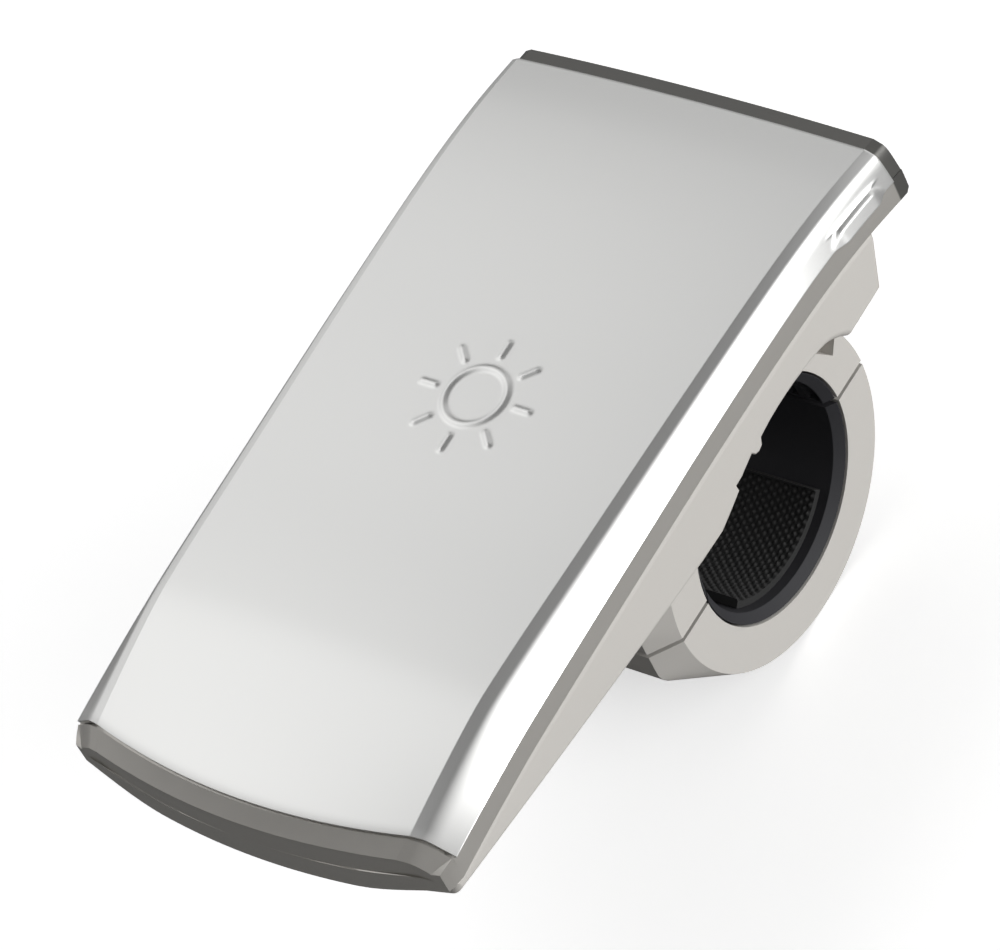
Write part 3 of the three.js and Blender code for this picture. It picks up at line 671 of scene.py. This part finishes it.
def skirt_z(x):
    """Lower edge of the frame's front face: it dips between its corners to cover the housing's front."""
    middle_z, corner_rise, corner_from, corner_reach = 24.35, 2.0, 16.0, 15.0
    return middle_z + corner_rise * ease((abs(x) - corner_from) / corner_reach)


def frame_outside(inset, lip):
    """The frame's closed outside: the deck under the cover, a lip behind it and a sloped lip in front."""
    front, back = FRONT_Y - GAP - lip, BACK_Y + GAP + lip
    front_wall, back_wall = FRONT_Y - GAP, BACK_Y + GAP
    skirt_inset = FRAME_INSET + NOSE_DROP * (1 - SKIRT_DEPTH / lip)
    sections = {
        "lip": frame_section(FRAME_INSET, 0.1),
        "deck": frame_section(inset, -GAP),
        "nose": frame_section(FRAME_INSET + NOSE_DROP, -0.5, BAND_HALF - NOSE_INSET),
        "skirt": frame_section(skirt_inset, -0.2, BAND_HALF - 0.5),
    }
    loops = {name: path + under for name, (path, under) in sections.items()}
    corner = len(sections["lip"][0]) - 1
    count = len(loops["lip"])
    skirt_y = front + SKIRT_DEPTH
    rows = [(front, "front cap"), (front, "nose"), (skirt_y, "skirt"), (skirt_y, "ledge")]
    rows += [(front_wall, "lip")] + [(y, "deck") for y in ramp(front_wall, back_wall, 56) + [back_wall]]
    rows += [(back_wall, "lip"), (back, "lip"), (back, "back cap")]

    def lip_point(loop, column, y, skirted):
        point = on_arch(loop[column].x, y, loop[column].y)
        if skirted and (column == 0 or column >= corner):
            point.z = skirt_z(point.x)
        return point

    def place(column, row):
        y, kind = rows[row]
        column %= count
        if kind in ("front cap", "back cap"):
            at_front = kind == "front cap"
            loop = loops["nose" if at_front else "lip"]
            across = (2 * corner - column) % count
            point = lip_point(loop, column, y, at_front)
            facing = lip_point(loop, across, y, at_front)
            return Vector((point.x, point.y, (point.z + facing.z) / 2))
        loop = loops["skirt" if kind == "ledge" else kind]
        return lip_point(loop, column, y, kind in ("nose", "skirt"))

    return skin("frame_bezel", count + 1, len(rows), place)


def frame_cavity(inset):
    """The hollow below the frame's deck."""
    side, reach = BAND_HALF - WALL, 5.0
    top = cover_line(inset + WALL, -WALL, (2, 4, 6, 4))
    hollow = [Vector((side, -BAND - 1)), Vector((side, -WALL)), *top, Vector((-side, -WALL)),
              Vector((-side, -BAND - 1))]
    back = BACK_Y - WALL - reach + 0.1
    rows = ramp(FRONT_Y + 2, back, 40) + [back]

    def place(column, row):
        point = hollow[column % len(hollow)]
        return on_arch(point.x, rows[row], point.y)

    return skin("cavity", len(hollow) + 1, len(rows), place)


def build_frame():
    sizes = bpy.context.scene.handle_light_sizes
    inset = sizes.sheet / MM + COVER_ROOM
    shell = frame_outside(inset, sizes.lip / MM)
    (y0, z0), (y1, z1) = BACK_CHAMFER
    turn = Matrix.Translation((0, y0, z0)) @ Matrix.Rotation(math.atan2(z1 - z0, y1 - y0), 4, "X")
    chamfer = block((-FAR, 0, -30), (FAR, 60, 0), turn=turn)
    combine(shell, [frame_cavity(inset), chamfer])
    posts = [drum("z", SCREW_POST_R, 29.6, 35.4, xy, 32) for xy in SCREWS_XY]
    combine(shell, posts, "UNION")
    tray_low, tray_high = (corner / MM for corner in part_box("battery_tray"))
    bay = block((tray_low.x - TRAY_ROOM, tray_low.y - TRAY_ROOM, 20),
                (tray_high.x + TRAY_ROOM, tray_high.y + TRAY_ROOM, 45))
    pilots = [drum("z", SCREW_PILOT_R, 20, 36, xy, 24) for xy in SCREWS_XY]
    combine(shell, [bay, *pilots])
    soften(shell, 0.45, 3)
    return shell


# ---- Lower housing ----
def underside(y):
    """Height of the wedge's underside ahead of the bar groove."""
    return 24.2 - 0.124 * (y + 80.7) / (1 + 0.0035 * (y + 80.7))


# Bar groove in the housing's wings (y, z): a step and a rib at its front, easing out at the back.
GROOVE = [(-16.5, 18.2), (-13.8, 19.1), (-11.2, 20.1), (-11.35, 21.35), (-9.8, 21.45), (-8.3, 21.95),
          (-6.7, 22.45), (-6.15, 21.5), (-5.4, 21.2), (-4.6, 21.5), (-4.2, 22.75), (-1.7, 23.15), (0.6, 23.3),
          (2.8, 23.3), (5.0, 23.2), (7.3, 22.9), (9.3, 22.65), (11.1, 22.3), (12.8, 21.75), (14.1, 21.0),
          (15.8, 19.6), (17.2, 18.1)]
WEDGE_END = -19.5  # where the underside ends ahead of the groove
SEAM = 0.14  # between frame and housing


def housing_profile(inset, front):
    """The side view, set in by an inset, as (y, z) points anticlockwise from the front."""
    points = [(y, underside(y) + inset) for y in ramp(front + inset, WEDGE_END, 24)]
    for y, z in GROOVE:
        grow = 1 + inset / math.hypot(y, z)
        points.append((y * grow, z * grow))
    points += [(BACK_BLOCK_Y - inset, BACK_BLOCK_Z + inset), (BACK_TOP_Y - inset, BACK_TOP_Z)]
    top = ramp(BACK_TOP_Y - inset, front + inset, 48) + [front + inset]
    return points + [(y, tip_z(y) - BAND - SEAM - inset) for y in top]


def housing_solid(name, base_inset, half, rounding, columns):
    """The side view carried across X, with rounded long edges and the bowed front."""
    sizes = bpy.context.scene.handle_light_sizes
    front = FRONT_Y - GAP - sizes.lip / MM + 1.0
    draft, draft_from = 0.0016, 30  # the sides lean in below this height
    arc = [math.radians(90 - 15 * k) for k in range(6)]
    side = [(half - rounding + rounding * math.sin(a), rounding * (1 - math.cos(a))) for a in arc]
    middle = ramp(half - rounding, rounding - half, columns)
    stations = side + [(x, 0.0) for x in middle] + [(-x, inset) for x, inset in reversed(side)]
    profiles = [housing_profile(base_inset + inset, front) for _, inset in stations]
    count = len(profiles[0])

    def place(column, row):
        x = stations[row][0]
        y, z = profiles[row][column % count]
        return Vector((x * (1 - draft * max(0.0, draft_from - z)), y - bow(x, y), z))

    return skin(name, count + 1, len(stations), place)


def lens_turn():
    return Matrix.Translation((0, LENS_Y, underside(LENS_Y))) @ Matrix.Rotation(LENS_SLOPE, 4, "X")


def build_housing():
    ring = bpy.context.scene.handle_light_sizes.ring_radius / MM
    shell = housing_solid("housing_shell", 0.0, HOUSING_HALF, HOUSING_ROUND, 20)
    cavity = housing_solid("cavity", WALL, HOUSING_HALF - 2.0, 0.6, 8)
    combine(shell, [cavity])
    towers = [drum("z", SCREW_TOWER_R, underside(y) + 0.4, 28.9, (x, y), 32) for x, y in SCREWS_XY[:2]]
    towers += [drum("z", SCREW_TOWER_R, 19.0, 26.0, xy, 32) for xy in SCREWS_XY[2:]]
    combine(shell, towers, "UNION")
    half_x, half_y = LENS_HALF
    window = block((-half_x, -half_y, -6), (half_x, half_y, 6), turn=lens_turn())
    seat = drum("x", ring + GAP + 0.1, -SEAT_HALF, SEAT_HALF, (0, 0), 128)
    button = drum("z", BUTTON_HOLE_R, 10, FAR, (0, BUTTON_Y), 64)
    holes = [drum("z", SCREW_HOLE_R, 0, FAR, xy, 32) for xy in SCREWS_XY]
    sinks = [drum("z", SCREW_SINK_R, 0, 23, xy, 40) for xy in SCREWS_XY]
    combine(shell, [window, seat, button, *holes, *sinks])
    soften(shell, 0.3, 2)
    return shell


# ---- Clamp ----
def prism(points, x0, x1):
    """A side view of (y, z) points drawn out along X."""
    bm = bmesh.new()
    face = bm.faces.new([bm.verts.new((x0, y, z)) for y, z in points])
    drawn = bmesh.ops.extrude_face_region(bm, geom=[face])["geom"]
    moved = [v for v in drawn if isinstance(v, bmesh.types.BMVert)]
    bmesh.ops.translate(bm, vec=(x1 - x0, 0, 0), verts=moved)
    bmesh.ops.recalc_face_normals(bm, faces=bm.faces)
    return finish_mesh("prism", bm)


def ring_outside():
    """The ring's outside, drawn out at the front to a narrower rounded nose for the clamp screw."""
    ring = bpy.context.scene.handle_light_sizes.ring_radius / MM
    bm = bmesh.new()
    for side in (-1, 1):
        circles = ((side * RING_HALF, 0, 0, ring, 160), (side * EAR_HALF, EAR_Y, EAR_Z, EAR_R, 64),
                   (side * EAR_HALF, EAR_Y, -EAR_Z, EAR_R, 64))
        for x, y, z, radius, sides in circles:
            bmesh.ops.create_circle(bm, segments=sides, radius=radius,
                                    matrix=Matrix.Translation((x, y, z)) @ Z_TO_X)
    hull = bmesh.ops.convex_hull(bm, input=bm.verts)
    spare = [v for v in hull["geom_interior"] if isinstance(v, bmesh.types.BMVert)]
    bmesh.ops.delete(bm, geom=spare, context="VERTS")
    bmesh.ops.dissolve_limit(bm, angle_limit=math.radians(0.5), verts=bm.verts, edges=bm.edges)
    bmesh.ops.recalc_face_normals(bm, faces=bm.faces)
    return finish_mesh("ring_outside", bm)


def half_ring(name, section, above, split, steps):
    """A section spun round the bore, from one split face to the other."""
    radius = max(r for _, r in section)
    margin = math.asin(split / radius)
    start = margin if above else math.pi + margin
    return spun(name, section, "x", (0, 0, 0), start, math.pi - 2 * margin, steps)


def clamp_half(name, above):
    """The saddle above the split or the cap below it, with its knuckles and screw holes."""
    sizes = bpy.context.scene.handle_light_sizes
    ring, bore = sizes.ring_radius / MM, sizes.bore_radius / MM
    shell = ring_outside()
    shell.name = shell.data.name = name
    low, high = (-FAR, RING_SPLIT) if above else (-RING_SPLIT, FAR)
    combine(shell, [block((-FAR, -FAR, low), (FAR, FAR, high))])
    outer_spans = [(-HINGE_HALF, -KNUCKLE_HALF - GAP), (KNUCKLE_HALF + GAP, HINGE_HALF)]
    middle_span = [(-KNUCKLE_HALF, KNUCKLE_HALF)]
    mine, theirs = (outer_spans, middle_span) if above else (middle_span, outer_spans)
    rooms = [drum("x", KNUCKLE_R + KNUCKLE_ROOM, a - GAP, b + GAP, (PIN_Y, 0), 48) for a, b in theirs]
    knuckles = [drum("x", KNUCKLE_R, a, b, (PIN_Y, 0), 48) for a, b in mine]
    web_low, web_high = (0, KNUCKLE_R) if above else (-KNUCKLE_R, 0)
    webs = [block((a, ring - 3, web_low), (b, PIN_Y, web_high)) for a, b in mine]
    combine(shell, rooms)
    combine(shell, knuckles + webs, "UNION")
    if above:
        feet = [block((-FOOT_HALF, y0, FOOT_Z[0]), (FOOT_HALF, y1, FOOT_Z[1])) for y0, y1 in FOOT_YS]
        combine(shell, feet, "UNION")
    way = drum("x", bore, -FAR, FAR, (0, 0), 2 * sizes.spin_steps)
    pin_hole = drum("x", PIN_HOLE_R, -16, 16, (PIN_Y, 0), 32)
    combine(shell, [way, pin_hole])
    if above:
        combine(shell, [prism(SIDE_POCKET, SIDE_POCKET_X, FAR), prism(SIDE_POCKET, -FAR, -SIDE_POCKET_X)])
        nut_room = drum("z", NUT_ROOM_R, *NUT_ROOM_Z, (0, EAR_Y), 6)
        combine(shell, [nut_room, drum("z", SADDLE_HOLE_R, -10, 20, (0, EAR_Y), 32)])
        combine(shell, [drum("z", 1.5, 8, FAR, xy, 24) for xy in SADDLE_SCREWS_XY])
    else:
        screw_hole = drum("z", CAP_HOLE_R, -20, 20, (0, EAR_Y), 32)
        combine(shell, [screw_hole, drum("z", HEAD_ROOM_R, -20, HEAD_ROOM_Z, (0, EAR_Y), 48)])
    soften(shell, 0.9, 4, 30.0)
    return shell


def build_liner(name, above):
    """A black sleeve with a broad chamfered rim at each end; the upper one has slots near its back end."""
    right = [(LINER_HALF, LINER_OUTER), (LINER_HALF, LINER_OUTER - 0.1)]
    right += [(LINER_HALF - LINER_RIM, LINER_INNER)]
    section = right + [(-x, r) for x, r in reversed(right)]
    steps = bpy.context.scene.handle_light_sizes.spin_steps
    liner = half_ring(name, section, above, LINER_SPLIT, steps)
    slot_low, slot_high, slot_from = 15.0, 17.1, 3.5
    for x0, x1, end in LINER_SLOTS if above else ():
        for a, b in ((x0, x1), (-x1, -x0)):
            outline = [(a, slot_low), (b, slot_low), (b, slot_high), (a, slot_high)]
            turn = math.radians(end - slot_from)
            combine(liner, [spun("slot", outline, "x", (0, 0, 0), math.radians(slot_from), turn, 10)])
    soften(liner, 0.18, 2, 30.0)
    return liner


def build_pad():
    """The grip pad: a curved rubber block whose gripping face is covered in small staggered bumps."""
    pitch = bpy.context.scene.handle_light_sizes.pad_pitch / MM
    bump_x, bump_arc = 0.46, 0.48  # a bump's half size, as a share of its pitch
    columns, rows = 300, 132
    edge = [(PAD_HALF, PAD_OUTER), (PAD_HALF, PAD_INNER + PAD_EDGE)]
    face_half = PAD_HALF - PAD_EDGE
    face = [(x, PAD_INNER) for x in ramp(face_half, -face_half, columns) + [-face_half]]
    section = edge + face + [(-x, r) for x, r in reversed(edge)]

    def place(column, row):
        x, radius = section[column % len(section)]
        angle = PAD_FROM + (PAD_TO - PAD_FROM) * row / (rows - 1)
        arc = PAD_INNER * (angle - PAD_FROM)
        if radius == PAD_INNER and 1 < row < rows - 2:
            lane = x / pitch
            along = arc / PAD_ROW_PITCH + 0.5 * (math.floor(lane) % 2)
            away = math.hypot((lane % 1 - 0.5) / bump_x, (along % 1 - 0.5) / bump_arc)
            radius += PAD_BUMP * ease(away)
        return Vector((x, radius * math.cos(angle), radius * math.sin(angle)))

    pad = skin("pad_knurled", len(section) + 1, rows, place)
    shade(pad, 50)
    return pad


# ---- Light window, reflector and button ----
def build_lens():
    """The clear pane, with a shallow dome over each LED."""
    half_x, half_y = LENS_PANE_HALF
    pane = block((-half_x, -half_y, 0.0), (half_x, half_y, LENS_PANE), 0.25, lens_turn())
    pane.name = "lens_pane"
    arc = [(DOME_HEIGHT * math.sin(a), DOME_R * math.cos(a)) for a in ramp(0.12, 1.5, 10)]
    outline = [(0, 0), (0, DOME_R), *arc, (DOME_HEIGHT, 0)]
    domes = []
    for x in DOME_XS:
        dome = spun("dome", outline, "z", (0, 0, 0), steps=48)
        dome.data.transform(Matrix.Diagonal((1, 1, DOME_FLATTEN, 1)))
        place = lens_turn() @ Matrix.Translation((x, 0, LENS_PANE - 0.2))
        dome.data.transform(Matrix.Scale(MM, 4) @ place @ Matrix.Scale(1 / MM, 4))
        domes.append(dome)
    combine(pane, domes, "UNION")
    shade(pane, 30)
    return pane


def build_button():
    """A dished round key with a flange inside the housing and a raised ring as its mark."""
    low = underside(BUTTON_Y) - 0.6
    outline = [(low + 0.35, 0.0), (low + 0.30, 1.2), (low + 0.05, 1.5), (low + 0.05, 1.9), (low + 0.27, 2.2),
               (low + 0.12, 3.2), (low, 3.7), (low + 0.1, 4.05), (low + 0.4, 4.2), (22.4, 4.2), (22.4, 5.4),
               (23.6, 5.4), (23.6, 0.0)]
    key = spun("button_key", outline, "z", (0, BUTTON_Y, 0), steps=64)
    shade(key, 40)
    return key


def build_cell(name, x, flip):
    """One battery: a sleeved can with a shouldered crimp, a nub and a flat negative end."""
    low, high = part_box(name)
    centre_z = (low.z + high.z) / 2 / MM
    y0, y1 = low.y / MM, high.y / MM
    negative = [(0.0, 0.0), (0.0, 3.6), (0.35, 3.9), (0.35, 4.7), (0.6, 5.1), (1.0, 5.25)]
    positive = [(2.0, 5.25), (1.4, 5.1), (1.15, 4.6), (1.0, 2.1), (0.9, 1.9), (0.15, 1.9), (0.0, 1.7),
                (0.0, 0.0)]
    outline = negative + [(y1 - y0 - back, r) for back, r in positive]
    cell = spun(name.replace("battery", "cell"), outline, "y", (0, 0, 0), steps=64)
    turn = Matrix.Rotation(math.pi, 4, "X") if flip else Matrix.Identity(4)
    start = y1 if flip else y0
    cell.data.transform(Matrix.Translation((x * MM, start * MM, centre_z * MM)) @ turn)
    shade(cell, 35)
    return cell


# ---- Studio ----
CAMERA_AZIMUTH, CAMERA_ELEVATION, CAMERA_ROLL = 54.72, 47.39, -28.81
CAMERA_DISTANCE = 0.827
CAMERA_LENS = 216.0
AIM_RIGHT, AIM_UP = 0.01997, 0.00203  # where the clamp's centre sits, right of and above the view's middle


def camera_axes():
    """The camera's right, up and backward directions."""
    a, e, roll = (math.radians(v) for v in (CAMERA_AZIMUTH, CAMERA_ELEVATION, CAMERA_ROLL))
    back = Vector((math.sin(a) * math.cos(e), -math.cos(a) * math.cos(e), math.sin(e)))
    level = Vector((math.cos(a), math.sin(a), 0))
    upright = back.cross(level)
    right = math.cos(roll) * level + math.sin(roll) * upright
    return right, back.cross(right), back


def build_camera():
    right, up, back = camera_axes()
    data = bpy.data.cameras.new("studio_camera")
    data.lens = CAMERA_LENS
    data.sensor_width = 36.0
    data.clip_start, data.clip_end = 0.05, 20.0
    camera = bpy.data.objects.new("studio_camera", data)
    place = back * CAMERA_DISTANCE - right * AIM_RIGHT - up * AIM_UP
    turn = Matrix((right, up, back)).transposed().to_4x4()
    camera.matrix_world = Matrix.Translation(place) @ turn
    bpy.context.scene.collection.objects.link(camera)
    bpy.context.scene.camera = camera


FLOOR_HALF, FLOOR_GLOW = 4000.0, 0.55
SKY, SKY_LEAST = 0.86, 0.03
# Softly edged patches of sky: direction, inner and outer angle in degrees, and the light they add or take.
SKY_PATCHES = (
    ((0.20, 0.40, 0.89), 22, 33, -0.84),
    ((0.20, 0.05, 0.98), 20, 32, -0.84),
    ((0.92, 0.38, 0.10), 22, 38, 1.2),
    ((-0.60, -0.12, 0.80), 12, 30, 0.55),
    ((-0.50, 0.84, 0.22), 10, 24, -0.80),
    ((-0.10, -1.0, -0.15), 50, 84, -0.80),
)


def build_floor():
    """A pale floor that throws only a little light back up."""
    bm = bmesh.new()
    bmesh.ops.create_grid(bm, x_segments=1, y_segments=1, size=FLOOR_HALF)
    bmesh.ops.translate(bm, vec=(0, 0, CAD_LOW.z / MM - 0.05), verts=bm.verts)
    floor = finish_mesh("studio_floor", bm)
    finish = Finish("pale_floor", Roughness=1.0, Metallic=0.0)
    path = finish.tree.nodes.new("ShaderNodeLightPath")
    seen, thrown = (0.92, 0.92, 0.92), (0.22, 0.22, 0.22)
    finish.blend(path.outputs["Is Camera Ray"], thrown, seen)
    finish.shader.inputs["Emission Color"].default_value = (1, 1, 1, 1)
    finish.blend(path.outputs["Is Camera Ray"], 0.0, FLOOR_GLOW, "Emission Strength")
    floor.data.materials.append(finish.material)


def build_sky():
    """An even sky with brighter and darker patches, which the polished surfaces reflect."""
    world = bpy.data.worlds.new("studio_air")
    world.use_nodes = True
    tree = world.node_tree
    direction = tree.nodes.new("ShaderNodeTexCoord").outputs["Generated"]
    total = SKY
    for toward, inner, outer, change in SKY_PATCHES:
        dot = tree.nodes.new("ShaderNodeVectorMath")
        dot.operation = "DOT_PRODUCT"
        tree.links.new(direction, dot.inputs[0])
        dot.inputs[1].default_value = Vector(toward).normalized()
        patch = tree.nodes.new("ShaderNodeMapRange")
        patch.interpolation_type = "SMOOTHSTEP"
        patch.inputs["From Min"].default_value = math.cos(math.radians(outer))
        patch.inputs["From Max"].default_value = math.cos(math.radians(inner))
        patch.inputs["To Max"].default_value = change
        tree.links.new(dot.outputs["Value"], patch.inputs["Value"])
        total = math_node(tree, "ADD", total, patch.outputs[0])
    strength = math_node(tree, "MAXIMUM", total, SKY_LEAST)
    background = tree.nodes["Background"]
    background.inputs["Color"].default_value = (1.0, 1.0, 1.0, 1.0)
    tree.links.new(strength, background.inputs["Strength"])
    bpy.context.scene.world = world


def soft_light(name, direction, distance, size, power):
    """A soft area light that looks at the object from a direction."""
    data = bpy.data.lights.new(name, "AREA")
    data.shape = "RECTANGLE"
    data.size, data.size_y = size
    data.energy = power
    lamp = bpy.data.objects.new(name, data)
    lamp.location = Vector(direction).normalized() * distance
    lamp.rotation_euler = lamp.location.to_track_quat("Z", "Y").to_euler()
    bpy.context.scene.collection.objects.link(lamp)


def build_lights():
    build_sky()
    soft_light("side_softbox", (0.97, 0.25, 0.14), 1.4, (0.6, 0.4), 9.0)
    bpy.context.scene.view_settings.view_transform = "Standard"


# ---- Operators ----
class HANDLELIGHT_OT_cover(Operator):
    """Bend the brushed steel cover, with its embossed mark and finger pulls"""

    bl_idname = "handlelight.cover"
    bl_label = "Steel Cover"

    def execute(self, context):
        settle(build_cover(), "cover", "brushed_cover", "steel_cover")
        return {"FINISHED"}


class HANDLELIGHT_OT_body(Operator):
    """Mould the upper frame and the lower housing"""

    bl_idname = "handlelight.body"
    bl_label = "Frame and Housing"

    def execute(self, context):
        # The frame's finish is the satin paint with painted shade on its back lip.
        settle(build_frame(), "housing", "silver_plastic", "upper_frame", "frame_silver_painted_shade")
        settle(build_housing(), "housing", "silver_plastic", "lower_housing")
        return {"FINISHED"}


class HANDLELIGHT_OT_clamp(Operator):
    """Make the two clamp halves, their liners and the grip pad"""

    bl_idname = "handlelight.clamp"
    bl_label = "Ring Clamp"

    def execute(self, context):
        settle(clamp_half("saddle_ring", True), "housing", "silver_plastic", "clamp_saddle")
        settle(clamp_half("cap_ring", False), "cap", "silver_plastic", "clamp_cap")
        settle(build_liner("liner_top", True), "housing", "black_plastic", "upper_liner")
        settle(build_liner("liner_bottom", False), "cap", "black_plastic", "lower_liner")
        settle(build_pad(), "cap", "grip_rubber", "grip_pad")
        return {"FINISHED"}


class HANDLELIGHT_OT_controls(Operator):
    """Make the light window, the power button and the battery cells"""

    bl_idname = "handlelight.controls"
    bl_label = "Window, Button and Cells"

    def execute(self, context):
        settle(build_lens(), "housing", "clear_lens", "lens_window")
        settle(build_button(), "button", "grip_rubber", "power_button")
        for side, x, flip in (("left", -11.8, False), ("middle", 0.0, True), ("right", 11.8, False)):
            name = f"battery_{side}"
            settle(build_cell(name, x, flip), "housing", "cell_wrap", name)
        return {"FINISHED"}


class HANDLELIGHT_OT_hardware(Operator):
    """Give the remaining fasteners, contacts and electronics their finishes"""

    bl_idname = "handlelight.hardware"
    bl_label = "Hardware Finishes"

    def execute(self, context):
        finish = library()
        slots = {part["node"]: part["material_slot"] for part in frame["record"]["subparts"]}
        for name, node in frame["nodes"].items():
            node.data.materials.clear()
            node.data.materials.append(finish[slots[name]])
        return {"FINISHED"}


class HANDLELIGHT_OT_stage(Operator):
    """Set the pale floor, the soft studio lights and the camera"""

    bl_idname = "handlelight.stage"
    bl_label = "Studio"

    def execute(self, context):
        build_floor()
        build_lights()
        build_camera()
        return {"FINISHED"}


# ---- Panel and registration ----
class HANDLELIGHT_PT_panel(Panel):
    """Lists the light's build steps and sizes"""

    bl_idname = "HANDLELIGHT_PT_panel"
    bl_label = "Handle Light"
    bl_space_type = "VIEW_3D"
    bl_region_type = "UI"
    bl_category = "Handle Light"

    def draw(self, context):
        layout = self.layout
        for step in STEPS:
            layout.operator(step.bl_idname)
        for group in (context.scene.handle_light_sizes, context.scene.handle_light_colours):
            box = layout.box()
            for name in group.__annotations__:
                box.prop(group, name)


STEPS = (
    HANDLELIGHT_OT_stage,
    HANDLELIGHT_OT_hardware,
    HANDLELIGHT_OT_cover,
    HANDLELIGHT_OT_body,
    HANDLELIGHT_OT_clamp,
    HANDLELIGHT_OT_controls,
)
CLASSES = (HandleLightSizes, HandleLightColours, *STEPS, HANDLELIGHT_PT_panel)


def register():
    for cls in CLASSES:
        bpy.utils.register_class(cls)
    bpy.types.Scene.handle_light_sizes = PointerProperty(type=HandleLightSizes)
    bpy.types.Scene.handle_light_colours = PointerProperty(type=HandleLightColours)


def unregister():
    del bpy.types.Scene.handle_light_colours
    del bpy.types.Scene.handle_light_sizes
    for cls in reversed(CLASSES):
        bpy.utils.unregister_class(cls)


def main():
    register()
    for step in STEPS:
        group, name = step.bl_idname.split(".")
        getattr(getattr(bpy.ops, group), name)()


if __name__ == "__main__":
    main()
